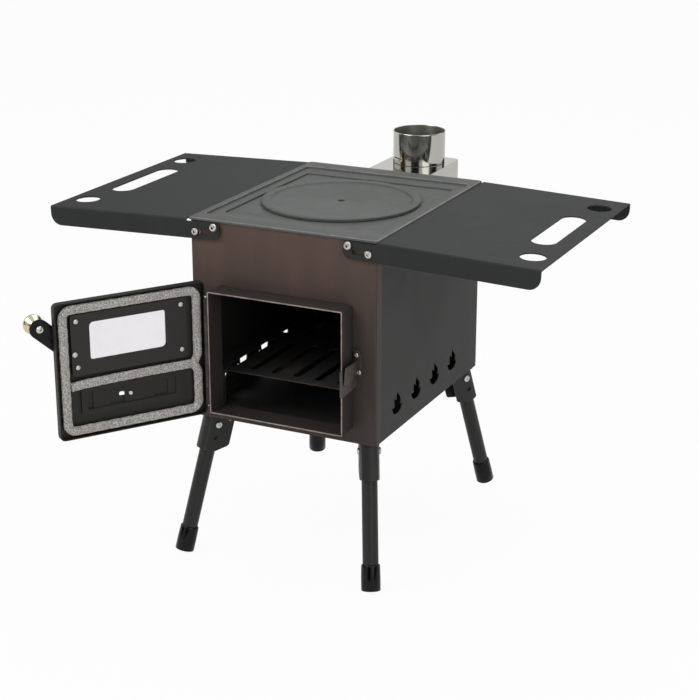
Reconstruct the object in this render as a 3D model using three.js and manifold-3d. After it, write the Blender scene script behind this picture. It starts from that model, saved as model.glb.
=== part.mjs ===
// Folding wood stove for a tent: a sheet-steel firebox on four splayed legs that fold in under it,
// with a hinged window door, a lift-out cooking lid, two drop-down side shelves and a flue box.
// Millimetres, +Z up, the door faces -Y. Every size below is written once and drives the rest.
import * as THREE from "three";
import { mergeVertices } from "three/addons/utils/BufferGeometryUtils.js";
import Module from "manifold-3d";

const wasm = await Module();
wasm.setup();

// ---------------------------------------------------------------- sizes
const DEG = Math.PI / 180;
const SHEET = 1.5; // steel sheet of the firebox, shelves and door
const FIT = 0.3; // air between two pieces that touch
const RUN = 0.5; // air between two pieces that slide or turn

const BODY_WIDTH = 242;
const BODY_DEPTH = 312.4;
const BODY_HEIGHT = 249.4; // underside of the firebox to the top of the frame
const SEAM_RETURN = 14; // front and back panels wrap this far round the sides
const FLOOR_EDGE = 8; // turned-up edge of the bottom panel

const FRAME_OVER = 2; // top frame over the firebox walls
const FRAME_LIP = 3.4; // turned-down outer edge
const FRAME_SIDE_RIM = 9;
const FRAME_END_RIM = 25;
const FRAME_STEP = 3.5; // rim down to the inner ledge
const PLATE_STEP = 1.6; // ledge down to the cooking plate
const PLATE_SIDE_IN = 22.5; // cooking plate in from the sides of the frame
const PLATE_END_IN = 49.7; // and from its front and back
const PLATE_THICK = 3;
const PLATE_GROOVE = 1.6; // open line round the cooking plate
const PLATE_BEARING = 9; // width of the shelf the plate lies on
const LID_IN = 2.5; // lid in from the plate's nearest edge
const LID_RIM = 10.5;
const LID_RISE = 3.6; // lid rim above the plate
const LID_DISH = 2.2; // middle of the lid below its rim
const LID_HOLE = 8.5;
const LID_SEAT = 9; // lid rim over the edge of its opening

const SHELF_LENGTH = 192.6; // inner edge to outer edge
const SHELF_FLANGE = 23.7;
const SHELF_CORNER = 14;
const SHELF_GAP = 1; // frame edge to shelf edge
const SHELF_DROOP = 2 * DEG; // the hung shelves sag this much
const SHELF_PIVOT_IN = 8.5; // pivot in from the side of the firebox
const SHELF_PIVOT_DROP = 16.4; // pivot below the top of the frame
const SHELF_TOP = 15; // shelf top above its pivot
const SHELF_TRAVEL = 18; // slot length, pulled out before folding
const TAB_REACH = 32.5; // pivot to the end of the tab
const TAB_DROP = 3; // tab top below the shelf top
const PIVOT_SHANK = 2.3; // pivot and lock screw radius
const LOCK_REACH = 25.6;
const LOCK_RISE = 6.8;
const HAND_SLOT_LENGTH = 132;
const HAND_SLOT_WIDTH = 30;
const HAND_SLOT_EDGE = 21; // outer edge to the slot
const SHELF_HOLE = 30;
const SHELF_HOLE_EDGE = 25.5; // outer edge to the hole centres
const SHELF_HOLE_END = 44; // front or back of the shelf to the hole centres

const THROAT_SIDE = 33; // firebox side to the throat
const THROAT_SHIFT = 2.6; // middle of the throat and door from the middle of the firebox
const THROAT_HEIGHT = 152;
const THROAT_BOTTOM = 17;
const THROAT_REACH = 27; // stands out of the front panel
const THROAT_FLANGE = 3.8; // behind the front panel, all round

const DOOR_OVER = { side: 5.6, top: 9, bottom: 5.4 }; // door past the throat
const DOOR_DEPTH = 8;
const DOOR_OPEN = 124.5 * DEG; // stands open this far
const HINGE_OUT = 4; // hinge axis beside the throat
const HINGE_BACK = 4.8; // hinge axis behind the throat rim
const HINGE_RADIUS = 3.2;
const PIN_RADIUS = 1.6;
const GASKET_WIDTH = 11;
const GASKET_THICK = 8;
const GASKET_INSET = 5; // door edge to the rope
const GASKET_BAR_SHARE = 0.4; // height of the middle bar, as a share of the door's
const GASKET_CORNER = 15;
const GASKET_PINCH = 8; // the hinge side bends in this far at the bar
const RETAINER_IN = { free: 3.3, hinge: 8.5, top: 0.9, bottom: 4.6 }; // in from the gasket
const RETAINER_DEPTH = 5.8;
const RETAINER_SCREW_IN = { side: 6.6, top: 7.8, bottom: 10.6 }; // screw centres in from the retainer
const WINDOW_IN = { free: 22.4, hinge: 24.6, top: 11, bottom: 15.8 }; // in from the retainer
const GLASS_THICK = 4;
const GLASS_OVER = 7; // glass past the window opening

const AIR_SLIDE_IN = 39.9; // ends of the slide in from the door's sides
const AIR_SLIDE_HEIGHT = 26;
const AIR_SLIDE_SHIFT = -4.1; // middle of the slide from the middle of the door
const AIR_SLIDE_TRAVEL = 10.5;
const AIR_SLOT_SHARE = 0.178; // slide window, as a share of the slide's length
const AIR_SLOT_APART_SHARE = 0.514;
const AIR_KNOB_SHARE = 0.075; // knob from the slide's middle, as a share of its length

const LEVER_PIVOT_IN = 22.6; // from the door's free edge
const LEVER_ABOVE_BAR = 36.84; // pivot above the seal's middle bar
const LEVER_LENGTH = 50.7;
const LEVER_WIDTH = 23;
const LEVER_THICK = 2.5;
const LEVER_ANGLE = 42.7 * DEG; // raised from level
const LEVER_BOLT = 2.1; // radius of its pivot bolt
const KNOB_DIAMETER = 24;
const KNOB_LENGTH = 23;
const KNOB_BOLT = 2.2; // radius of the bolt through the knob

const KEEPER_BESIDE = 1.6; // keeper beyond the free edge of the door
const KEEPER_BELOW = 10.7; // keeper top below the lever's pivot
const KEEPER_HEIGHT = 32.9;
const KEEPER_NOSE = 8.9; // keeper past the outer face of the closed door
const KEEPER_SHANK = 1.8; // screw radius

const LEG_PIVOT_IN = 15.4; // pivot in from the side of the firebox
const LEG_PIVOT_END_IN = 14.7; // and from its front or back
const LEG_PIVOT_DROP = 13;
const LEG_HEADING = 28.5 * DEG; // off the front-to-back line
const LEG_SPLAY = 16.5 * DEG;
const LEG_LENGTH = 166; // pivot to the end of the foot
const LEG_DIAMETER = 19;
const LEG_WALL = 1.2;
const FOOT_OVER = 2.2; // foot cap past the tube all round
const FOOT_LENGTH = 31.5;
const FOOT_FLAT = 1; // worn flat on the low side of each foot
const BRACKET_PLAY = 0.8; // tube to the inside of the bracket
const BRACKET_WEB_PLAY = 2.1; // tube to the inside of the bracket's web
const BRACKET_BACK = 22; // leg axis to the open edge
const BRACKET_DROP = 34; // below the pivot
const BRACKET_CUT = [18, 8]; // the open edge is cut off this far along and this far up
const LOCK_HOLE_DROP = 16.7;

const FLUE_WIDTH = 88;
const FLUE_BELOW = 4.4; // flue box top below the top of the frame
const FLUE_HEIGHT = 82;
const FLUE_REACH = 118.3; // back wall to the back of the flue box
const FLUE_WALL = 1;
const COLLAR_DIAMETER = 69;
const COLLAR_HEIGHT = 42.5; // above the flue box
const COLLAR_OUT = 80.8; // back wall to the middle of the collar

const VENT_COUNT = 4;
const VENT_PITCH = 56.3;
const VENT_FIRST_IN = 60.2; // firebox front to the middle of the first vent
const VENT_Z = 22;
const GRATE_Z = 58;

// ---------------------------------------------------------------- derived places
const HALF_W = BODY_WIDTH / 2;
const HALF_D = BODY_DEPTH / 2;
const FRAME_WIDTH = BODY_WIDTH + 2 * FRAME_OVER;
const FRAME_DEPTH = BODY_DEPTH + 2 * FRAME_OVER;
const PLATE_WIDTH = FRAME_WIDTH - 2 * PLATE_SIDE_IN;
const PLATE_DEPTH = FRAME_DEPTH - 2 * PLATE_END_IN;
const LID_DIAMETER = Math.min(PLATE_WIDTH, PLATE_DEPTH) - 2 * LID_IN;
const SHELF_DEPTH = FRAME_DEPTH + 2 * (SHEET + FIT);
const SHELF_PIVOT_X = HALF_W - SHELF_PIVOT_IN;
const SHELF_PIVOT_Z = BODY_HEIGHT - SHELF_PIVOT_DROP;
const THROAT_WIDTH = BODY_WIDTH - 2 * THROAT_SIDE;
const DOOR_WIDTH = THROAT_WIDTH + 2 * DOOR_OVER.side;
const DOOR_HEIGHT = THROAT_HEIGHT + DOOR_OVER.top + DOOR_OVER.bottom;
const RIM_Y = -HALF_D - THROAT_REACH; // front edge of the throat
const SEAL_Y = RIM_Y - FIT; // face of the gasket on the closed door
const PAN_BACK = SEAL_Y - GASKET_THICK - FIT; // inside of the door sheet
const PAN_FRONT = PAN_BACK - SHEET; // outside of the door sheet
const DOOR_BOTTOM = THROAT_BOTTOM - DOOR_OVER.bottom;
const SEAL_BAR_Z = DOOR_BOTTOM + DOOR_HEIGHT * GASKET_BAR_SHARE; // middle of the rope seal's bar
const LEVER_PIVOT_Z = SEAL_BAR_Z + LEVER_ABOVE_BAR;
const HINGE = new THREE.Vector2(-THROAT_WIDTH / 2 - HINGE_OUT, RIM_Y + HINGE_BACK);
const FOOT_DIAMETER = LEG_DIAMETER + 2 * FOOT_OVER;
const BRACKET_HALF = LEG_DIAMETER / 2 + BRACKET_PLAY + SHEET;
const BRACKET_WEB = LEG_DIAMETER / 2 + BRACKET_WEB_PLAY + SHEET;
const FLUE_TOP = BODY_HEIGHT - FLUE_BELOW;
const FLUE_BACK = HALF_D + FLUE_REACH;
const COLLAR_Y = HALF_D + COLLAR_OUT;
const BODY_Z =
  LEG_PIVOT_DROP + LEG_LENGTH * Math.cos(LEG_SPLAY) + (FOOT_DIAMETER / 2) * Math.sin(LEG_SPLAY) - FOOT_FLAT;

// ---------------------------------------------------------------- shaping helpers
// A closed solid from a closed three.js geometry, ready for joining and cutting.
function solid(geometry) {
  const bare = new THREE.BufferGeometry();
  bare.setAttribute("position", geometry.getAttribute("position").clone());
  if (geometry.index) bare.setIndex(geometry.index.clone());
  const merged = mergeVertices(bare, 1e-4);
  const mesh = new wasm.Mesh({
    numProp: 3,
    vertProperties: new Float32Array(merged.attributes.position.array),
    triVerts: new Uint32Array(merged.index.array),
  });
  return new wasm.Manifold(mesh);
}

function geometryOf(body) {
  const mesh = body.getMesh();
  const geometry = new THREE.BufferGeometry();
  geometry.setAttribute("position", new THREE.BufferAttribute(mesh.vertProperties, 3));
  geometry.setIndex(new THREE.BufferAttribute(mesh.triVerts, 1));
  return geometry;
}

const join = (first, ...rest) => rest.reduce((sum, next) => sum.add(next), first);
const cut = (first, ...rest) => rest.reduce((sum, next) => sum.subtract(next), first);

function block([x0, x1], [y0, y1], [z0, z1]) {
  const geometry = new THREE.BoxGeometry(x1 - x0, y1 - y0, z1 - z0);
  return solid(geometry.translate((x0 + x1) / 2, (y0 + y1) / 2, (z0 + z1) / 2));
}

// A round bar along "x", "y" or "z", from one place on that axis to another.
function bar(axis, radius, from, to, [a, b] = [0, 0], sides = 16) {
  const geometry = new THREE.CylinderGeometry(radius, radius, to - from, sides);
  const middle = (from + to) / 2;
  if (axis === "x") return solid(geometry.rotateZ(-Math.PI / 2).translate(middle, a, b));
  if (axis === "y") return solid(geometry.translate(a, middle, b));
  return solid(geometry.rotateX(Math.PI / 2).translate(a, b, middle));
}

// A turned piece about "x", "y" or "z"; the profile lists [radius, place along the axis].
function turned(axis, profile, [a, b] = [0, 0], sides = 24) {
  const geometry = new THREE.LatheGeometry(profile.map(([r, h]) => new THREE.Vector2(r, h)), sides);
  if (axis === "x") return solid(geometry.rotateZ(-Math.PI / 2).translate(0, a, b));
  if (axis === "y") return solid(geometry.translate(a, 0, b));
  return solid(geometry.rotateX(Math.PI / 2).translate(a, b, 0));
}

// Corner points with each corner rounded by its own radius.
function rounded(corners, radii, steps = 5) {
  const points = [];
  corners.forEach(([x, y], i) => {
    const radius = Array.isArray(radii) ? radii[i] : radii;
    const here = new THREE.Vector2(x, y);
    if (!radius) return points.push(here);
    const before = new THREE.Vector2(...corners.at(i - 1)).sub(here).normalize();
    const after = new THREE.Vector2(...corners[(i + 1) % corners.length]).sub(here).normalize();
    const half = Math.acos(before.dot(after)) / 2;
    const centre = before.clone().add(after).normalize().multiplyScalar(radius / Math.sin(half)).add(here);
    const start = before.multiplyScalar(radius / Math.tan(half)).add(here).sub(centre);
    const end = after.multiplyScalar(radius / Math.tan(half)).add(here).sub(centre);
    const turn = Math.atan2(start.cross(end), start.dot(end));
    for (let k = 0; k <= steps; k++) {
      points.push(start.clone().rotateAround(new THREE.Vector2(), (turn * k) / steps).add(centre));
    }
  });
  return points;
}

const rectangle = ([x0, x1], [y0, y1], radius = 0, steps = 3) =>
  rounded([[x0, y0], [x1, y0], [x1, y1], [x0, y1]], radius, steps);

// Prisms of an outline that lies flat (x, y), faces front (x, z) or faces sideways (y, z).
function prism(points, depth) {
  return new THREE.ExtrudeGeometry(new THREE.Shape(points), { depth, bevelEnabled: false });
}
const flat = (points, [z0, z1]) => solid(prism(points, z1 - z0).translate(0, 0, z0));
const facing = (points, [y0, y1]) => solid(prism(points, y1 - y0).rotateX(Math.PI / 2).translate(0, y1, 0));
const sideways = (points, [x0, x1]) =>
  solid(
    prism(points, x1 - x0)
      .applyMatrix4(
        new THREE.Matrix4().makeBasis(
          new THREE.Vector3(0, 1, 0),
          new THREE.Vector3(0, 0, 1),
          new THREE.Vector3(1, 0, 0),
        ),
      )
      .translate(x0, 0, 0),
  );

// Outline of a bent sheet channel: a web at the top and two legs hanging from it.
function channel(half, drop, sheet, bend) {
  const inner = half - sheet;
  return rounded(
    [[-half, -drop], [-inner, -drop], [-inner, -sheet], [inner, -sheet],
      [inner, -drop], [half, -drop], [half, 0], [-half, 0]],
    [0, 0, bend - sheet, bend - sheet, 0, 0, bend, bend],
    3,
  );
}

// A domed screw head with a hexagon socket, its shank behind it, along +Y.
function screw(y, headRadius, headHeight, shankRadius, shankLength, [x, z] = [0, 0]) {
  const head = turned(
    "y",
    [[0, 0], [headRadius * 0.7, 0], [headRadius, headHeight * 0.5], [headRadius, headHeight],
      [shankRadius, headHeight], [shankRadius, headHeight + shankLength], [0, headHeight + shankLength]],
    [x, z],
    10,
  ).translate([0, y, 0]);
  return cut(head, bar("y", headRadius * 0.42, y - 1, y + headHeight * 0.6, [x, z], 6));
}

function moved(body, matrix) {
  return solid(geometryOf(body).applyMatrix4(matrix));
}

// Left-hand copy of a right-hand piece.
function mirrored(geometry) {
  const copy = geometry.clone().scale(-1, 1, 1);
  const index = copy.index.array;
  for (let i = 0; i < index.length; i += 3) [index[i], index[i + 1]] = [index[i + 1], index[i]];
  return copy;
}

// ---------------------------------------------------------------- finishes
const finish = (color, roughness, metalness) => ({ color, roughness, metalness });
const STOVE_BLACK = finish(0x3b3a38, 0.62, 0.35);
const TOP_GREY = finish(0x4d4f4d, 0.66, 0.4);
const SHELF_GREY = finish(0x474846, 0.6, 0.4);
const LEG_BLACK = finish(0x2e2e2d, 0.5, 0.3);
const FOOT_BLACK = finish(0x151516, 0.25, 0);
const STAINLESS = finish(0xd3d2cb, 0.16, 1);
const ZINC = finish(0xc9c9c6, 0.28, 1);
const ROPE = finish(0xaba8a1, 0.95, 0);
const GLASS = finish(0xe4e3e5, 0.08, 0);
const KNOB = finish(0xcbbd97, 0.3, 0.8);

const group = new THREE.Group();
group.name = "tent_stove";
const body = new THREE.Group();
body.name = "firebox";
body.position.z = BODY_Z;
group.add(body);

function part(parent, name, shape, look) {
  const geometry = shape.isBufferGeometry ? shape : geometryOf(shape);
  const mesh = new THREE.Mesh(geometry, new THREE.MeshStandardMaterial(look));
  mesh.name = name;
  parent.add(mesh);
  return mesh;
}

// ---------------------------------------------------------------- firebox shell
const WALL_TOP = BODY_HEIGHT - SHEET - FIT;
const throatHole = THROAT_WIDTH / 2 + FIT;

// Front or back wall: a sheet whose two sides wrap round the corners.
function endPanel() {
  const reach = HALF_D - SEAM_RETURN;
  const outline = rounded(
    [[-HALF_W, -HALF_D], [HALF_W, -HALF_D], [HALF_W, -reach], [HALF_W - SHEET, -reach],
      [HALF_W - SHEET, SHEET - HALF_D], [SHEET - HALF_W, SHEET - HALF_D], [SHEET - HALF_W, -reach],
      [-HALF_W, -reach]],
    [2.5, 2.5, 0, 0, 1, 1, 0, 0],
    3,
  );
  return flat(outline, [0, WALL_TOP]);
}

const frontPanel = cut(
  endPanel(),
  facing(
    rectangle([-throatHole, throatHole], [THROAT_BOTTOM - FIT, THROAT_BOTTOM + THROAT_HEIGHT + FIT], 2.5),
    [-HALF_D - 2, -HALF_D + 4],
  ).translate([THROAT_SHIFT, 0, 0]),
);

const FLUE_MIDDLE = FLUE_TOP - FLUE_HEIGHT / 2;
const flueMouth = [FLUE_WIDTH / 2 - 8, FLUE_HEIGHT / 2 - 8];
const backPanel = cut(
  moved(endPanel(), new THREE.Matrix4().makeRotationZ(Math.PI)),
  facing(
    rectangle([-flueMouth[0], flueMouth[0]], [FLUE_MIDDLE - flueMouth[1], FLUE_MIDDLE + flueMouth[1]], 4),
    [HALF_D - 4, HALF_D + 2],
  ),
);

// Flame-shaped air hole: a curling tongue between two short ones, about 31 wide and 27 high.
function flame(y) {
  const shape = new THREE.Shape();
  shape.moveTo(-6.5, 0);
  shape.quadraticCurveTo(0, -1.6, 6.5, 0);
  shape.quadraticCurveTo(13.8, 2.4, 15.6, 10.6);
  shape.quadraticCurveTo(12.6, 7.4, 9.6, 8.2);
  shape.quadraticCurveTo(12.6, 16.4, 6.4, 20.4);
  shape.quadraticCurveTo(2.4, 22.8, 1.4, 27);
  shape.quadraticCurveTo(-3.6, 22, -1.6, 16.6);
  shape.quadraticCurveTo(-5.4, 18, -7.4, 21.6);
  shape.quadraticCurveTo(-9.4, 14.6, -7.6, 9.4);
  shape.quadraticCurveTo(-11.6, 8.2, -15.4, 10.8);
  shape.quadraticCurveTo(-13.4, 2.6, -6.5, 0);
  return shape.getPoints(3).slice(0, -1).map((p) => new THREE.Vector2(p.x + y, p.y + VENT_Z));
}

const vents = Array.from({ length: VENT_COUNT }, (_, i) =>
  sideways(flame(VENT_FIRST_IN - HALF_D + i * VENT_PITCH), [HALF_W - SHEET - 1, HALF_W + 1]),
);
const seam = HALF_D - SEAM_RETURN - FIT;
const sidePanel = geometryOf(cut(block([HALF_W - SHEET, HALF_W], [-seam, seam], [0, WALL_TOP]), ...vents));
part(body, "right_side_panel", sidePanel, STOVE_BLACK);
part(body, "left_side_panel", mirrored(sidePanel), STOVE_BLACK);

// Floor: a shallow tray whose edges turn up inside the walls.
const floorHalf = [HALF_W - SHEET - FIT, HALF_D - SHEET - FIT];
const tray = (inset, [z0, z1], radius) =>
  flat(
    rectangle([inset - floorHalf[0], floorHalf[0] - inset], [inset - floorHalf[1], floorHalf[1] - inset], radius, 3),
    [z0, z1],
  );
part(body, "bottom_panel", cut(tray(0, [0, FLOOR_EDGE], 2), tray(SHEET, [SHEET, FLOOR_EDGE + 1], 1)), STOVE_BLACK);

// Fire grate: a slotted plate on four bent-down feet, above the side air holes.
const grateHalf = [HALF_W - 8, HALF_D - 16];
const gratePitch = (grateHalf[0] - 25) / 3;
const grateSlots = [];
for (let i = -3; i <= 3; i++) {
  for (const y of [-1, 1]) {
    const middle = (y * grateHalf[1]) / 2;
    const reach = grateHalf[1] / 2 - 14;
    grateSlots.push(
      flat(
        rectangle([i * gratePitch - 5, i * gratePitch + 5], [middle - reach, middle + reach], 4, 1),
        [GRATE_Z - 4, GRATE_Z + 2],
      ),
    );
  }
}
const grateFeet = [];
for (const x of [-1, 1]) {
  for (const y of [-1, 1]) {
    const footX = x * (grateHalf[0] - 14);
    const footY = y * (grateHalf[1] - SHEET / 2);
    grateFeet.push(
      block([footX - 10, footX + 10], [footY - SHEET / 2, footY + SHEET / 2], [SHEET + FIT, GRATE_Z]),
    );
  }
}
const gratePlate = flat(
  rectangle([-grateHalf[0], grateHalf[0]], [-grateHalf[1], grateHalf[1]], 3, 3),
  [GRATE_Z - SHEET, GRATE_Z],
);
part(body, "fire_grate", cut(join(gratePlate, ...grateFeet), ...grateSlots), LEG_BLACK);

// ---------------------------------------------------------------- top frame, plate and lid
// Ring between two rectangles, each given by its half width, half depth and corner radius.
function ring(outer, inner, heights) {
  const outline = ([x, y, r]) => rectangle([-x, x], [-y, y], r, 2);
  return cut(flat(outline(outer), heights), flat(outline(inner), [heights[0] - 1, heights[1] + 1]));
}

const rimOuter = [FRAME_WIDTH / 2, FRAME_DEPTH / 2, 4];
const rimInner = [FRAME_WIDTH / 2 - FRAME_SIDE_RIM, FRAME_DEPTH / 2 - FRAME_END_RIM, 5];
const ledgeInner = [PLATE_WIDTH / 2 + PLATE_GROOVE, PLATE_DEPTH / 2 + PLATE_GROOVE, 4];
const LEDGE_Z = BODY_HEIGHT - FRAME_STEP;
const PLATE_Z = LEDGE_Z - PLATE_STEP; // top of the cooking plate
const bearing = [ledgeInner[0] - PLATE_BEARING, ledgeInner[1] - PLATE_BEARING, 4];
const grow = ([x, y, r], by) => [x + by, y + by, Math.max(r + by, 0.5)];
const BEARING_Z = PLATE_Z - PLATE_THICK - FIT;

// The outer edge is crowned: each thin layer steps in as it rises.
const crown = [0, 0.8].map((drop, i) =>
  ring(grow(rimOuter, i - 1), rimInner, [BODY_HEIGHT - SHEET, BODY_HEIGHT - drop]),
);
const topFrame = join(
  crown[0],
  ...crown.slice(1),
  ring(rimOuter, grow(rimOuter, -SHEET), [BODY_HEIGHT - FRAME_LIP, BODY_HEIGHT - 0.8]),
  ring(grow(rimInner, SHEET), rimInner, [LEDGE_Z - SHEET, BODY_HEIGHT - SHEET + 0.1]),
  ring(grow(rimInner, 0.1), ledgeInner, [LEDGE_Z - SHEET, LEDGE_Z]),
  ring(grow(ledgeInner, SHEET), ledgeInner, [BEARING_Z - SHEET, LEDGE_Z - SHEET + 0.1]),
  ring(grow(ledgeInner, 0.1), bearing, [BEARING_Z - SHEET, BEARING_Z]),
);
part(body, "top_frame", topFrame, TOP_GREY);

const openingRadius = LID_DIAMETER / 2 - LID_SEAT;
const plateHalf = [PLATE_WIDTH / 2, PLATE_DEPTH / 2, 3];
const cookPlate = cut(
  flat(rectangle([-plateHalf[0], plateHalf[0]], [-plateHalf[1], plateHalf[1]], plateHalf[2]), [
    PLATE_Z - PLATE_THICK,
    PLATE_Z,
  ]),
  bar("z", openingRadius, PLATE_Z - 5, PLATE_Z + 2, [0, 0], 32),
);
part(body, "cooktop_plate", cookPlate, TOP_GREY);

// Lid: a pressed disc with a raised rim, a dished middle, a lifter hole and a locating ring below.
const lidR = LID_DIAMETER / 2;
const lidTop = FIT + LID_RISE;
const ringR = openingRadius - 2;
const lid = turned(
  "z",
  [[LID_HOLE / 2, lidTop - LID_DISH - 2], [ringR - 2, lidTop - LID_DISH - 2], [ringR - 2, -4], [ringR, -4],
    [ringR, FIT], [lidR, FIT], [lidR, lidTop - 0.6], [lidR - 0.6, lidTop], [lidR - LID_RIM, lidTop],
    [lidR - LID_RIM - 1.6, lidTop - LID_DISH], [LID_HOLE / 2, lidTop - LID_DISH],
    [LID_HOLE / 2, lidTop - LID_DISH - 2]],
  [0, 0],
  32,
);
part(body, "cooking_lid", lid, TOP_GREY).position.z = PLATE_Z;

// ---------------------------------------------------------------- throat, hinge and latch keeper
// These and the door are drawn about the middle of the throat, which stands THROAT_SHIFT to the right.
const throatOutline = (grown) =>
  rectangle(
    [-THROAT_WIDTH / 2 - grown, THROAT_WIDTH / 2 + grown],
    [THROAT_BOTTOM - grown, THROAT_BOTTOM + THROAT_HEIGHT + grown],
    2 + Math.max(grown, -1),
    3,
  );
const panelInside = -HALF_D + SHEET + FIT;
const hingeBands = [[0.06, 0.2], [0.8, 0.94]].map(([a, b]) => [
  THROAT_BOTTOM + a * THROAT_HEIGHT,
  THROAT_BOTTOM + b * THROAT_HEIGHT,
]);
const knuckle = (heights) =>
  cut(
    bar("z", HINGE_RADIUS, ...heights, [HINGE.x, HINGE.y], 12),
    bar("z", PIN_RADIUS + FIT, heights[0] - 1, heights[1] + 1, [HINGE.x, HINGE.y], 8),
  );
const wallX = -THROAT_WIDTH / 2;
// Each fixed knuckle is welded to the throat by a short strap.
const fixedKnuckles = hingeBands.map((heights) =>
  join(
    knuckle(heights),
    cut(
      block([HINGE.x + 1.2, wallX + 0.4], [HINGE.y - HINGE_RADIUS + 0.6, HINGE.y + 12], heights),
      bar("z", PIN_RADIUS + FIT, heights[0] - 1, heights[1] + 1, [HINGE.x, HINGE.y], 8),
    ),
  ),
);
const throat = join(
  cut(
    join(
      facing(throatOutline(0), [RIM_Y, panelInside + SHEET]),
      facing(throatOutline(THROAT_FLANGE), [panelInside, panelInside + SHEET]),
    ),
    facing(throatOutline(-SHEET), [RIM_Y - 1, panelInside + SHEET + 1]),
  ),
  ...fixedKnuckles,
);
part(body, "door_throat", throat, STOVE_BLACK).position.x = THROAT_SHIFT;

// Keeper: a plate screwed to the front panel with an arm bent forward; the handle drops into its notch.
const KEEPER_X = DOOR_WIDTH / 2 + KEEPER_BESIDE;
const KEEPER_TOP = LEVER_PIVOT_Z - KEEPER_BELOW;
const KEEPER_BOTTOM = KEEPER_TOP - KEEPER_HEIGHT;
const keeperFront = PAN_FRONT - KEEPER_NOSE;
const plateY = -HALF_D - FIT;
const keeperArm = rounded(
  [[keeperFront, KEEPER_BOTTOM], [plateY - 6, KEEPER_BOTTOM + 2.5], [plateY, KEEPER_BOTTOM + 8], [plateY, KEEPER_TOP],
    [PAN_FRONT + 5.5, KEEPER_TOP], [PAN_FRONT + 2, KEEPER_TOP - 19], [PAN_FRONT - 5, KEEPER_TOP - 19],
    [PAN_FRONT - 5, KEEPER_TOP], [keeperFront, KEEPER_TOP]],
  [3, 2, 0, 2, 2, 2, 2, 0.8, 0.8],
  3,
);
const keeperPlate = facing(
  rounded([[KEEPER_X - 6, KEEPER_TOP + 1], [KEEPER_X, KEEPER_TOP + 1], [KEEPER_X, KEEPER_BOTTOM + 10],
    [KEEPER_X + 5.4, KEEPER_BOTTOM + 10], [KEEPER_X + 5.4, KEEPER_TOP + 3], [KEEPER_X + 1, KEEPER_TOP + 13],
    [KEEPER_X - 6, KEEPER_TOP + 13]], [1, 0, 0, 4, 4, 4, 4], 3),
  [plateY - SHEET, plateY],
);
const keeperPlaces = [
  [KEEPER_X - 1.2, KEEPER_TOP + 6.5],
  [KEEPER_X + 2.2, KEEPER_BOTTOM + 18.5],
];
const keeperScrews = keeperPlaces.map((place) => screw(plateY - SHEET - 2, 3, 2, KEEPER_SHANK, 5, place));
part(
  body,
  "latch_keeper",
  join(sideways(keeperArm, [KEEPER_X - 1, KEEPER_X + 1]), keeperPlate, ...keeperScrews),
  STOVE_BLACK,
).position.x = THROAT_SHIFT;

// The front and back walls are drilled for the keeper and for the shelves' pivot screws.
const pivotBores = [-1, 1].flatMap((side) =>
  [-1, 1].map((end) =>
    bar("y", PIVOT_SHANK + FIT, end * HALF_D - 5, end * HALF_D + 5, [side * SHELF_PIVOT_X, SHELF_PIVOT_Z], 12),
  ),
);
const keeperBores = keeperPlaces.map((place) =>
  bar("y", KEEPER_SHANK + FIT, -HALF_D - 1, -HALF_D + 8, place, 12).translate([THROAT_SHIFT, 0, 0]),
);
part(body, "front_panel", cut(frontPanel, ...keeperBores, ...pivotBores), STOVE_BLACK);
part(body, "back_panel", cut(backPanel, ...pivotBores), STOVE_BLACK);

// ---------------------------------------------------------------- door
// The door is drawn closed and hangs in a group that turns it open about the hinge axis.
const doorSwing = new THREE.Group();
doorSwing.name = "door";
doorSwing.position.set(HINGE.x + THROAT_SHIFT, HINGE.y, 0);
doorSwing.rotation.z = -DOOR_OPEN;
body.add(doorSwing);
function doorPart(name, shape, look) {
  const mesh = part(doorSwing, name, shape, look);
  mesh.position.set(-HINGE.x, -HINGE.y, 0);
  return mesh;
}

const DOOR_X = [-DOOR_WIDTH / 2, DOOR_WIDTH / 2];
const DOOR_Z = [DOOR_BOTTOM, DOOR_BOTTOM + DOOR_HEIGHT];
const about = ([x, z], width, height, radius, steps = 3) =>
  rectangle([x - width / 2, x + width / 2], [z - height / 2, z + height / 2], radius, steps);
const leverPivot = [DOOR_X[1] - LEVER_PIVOT_IN, LEVER_PIVOT_Z];

// The rope seal's outline, its middle bar and the insides of its two loops.
const sealX = [DOOR_X[0] + GASKET_INSET, DOOR_X[1] - GASKET_INSET];
const sealZ = [DOOR_Z[0] + GASKET_INSET - 1, DOOR_Z[1] - GASKET_INSET + 1];
const loopX = [sealX[0] + GASKET_WIDTH, sealX[1] - GASKET_WIDTH];
const upperLoop = [SEAL_BAR_Z + GASKET_WIDTH / 2, sealZ[1] - GASKET_WIDTH];
const lowerLoop = [sealZ[0] + GASKET_WIDTH, SEAL_BAR_Z - GASKET_WIDTH / 2];

// The retainer fills the upper loop, and the window is cut in it.
const retainerX = [loopX[0] + RETAINER_IN.hinge, loopX[1] - RETAINER_IN.free];
const retainerZ = [upperLoop[0] + RETAINER_IN.bottom, upperLoop[1] - RETAINER_IN.top];
const windowX = [retainerX[0] + WINDOW_IN.hinge, retainerX[1] - WINDOW_IN.free];
const windowZ = [retainerZ[0] + WINDOW_IN.bottom, retainerZ[1] - WINDOW_IN.top];
const inset = ([x0, x1], [z0, z1], by, radius) => rectangle([x0 + by, x1 - by], [z0 + by, z1 - by], radius);
const { side: screwIn, top: screwBelow, bottom: screwAbove } = RETAINER_SCREW_IN;
const retainerScrews = [retainerX[0] + screwIn, retainerX[1] - screwIn].flatMap((x) =>
  [retainerZ[0] + screwAbove, retainerZ[1] - screwBelow].map((z) => [x, z]),
);

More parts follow.
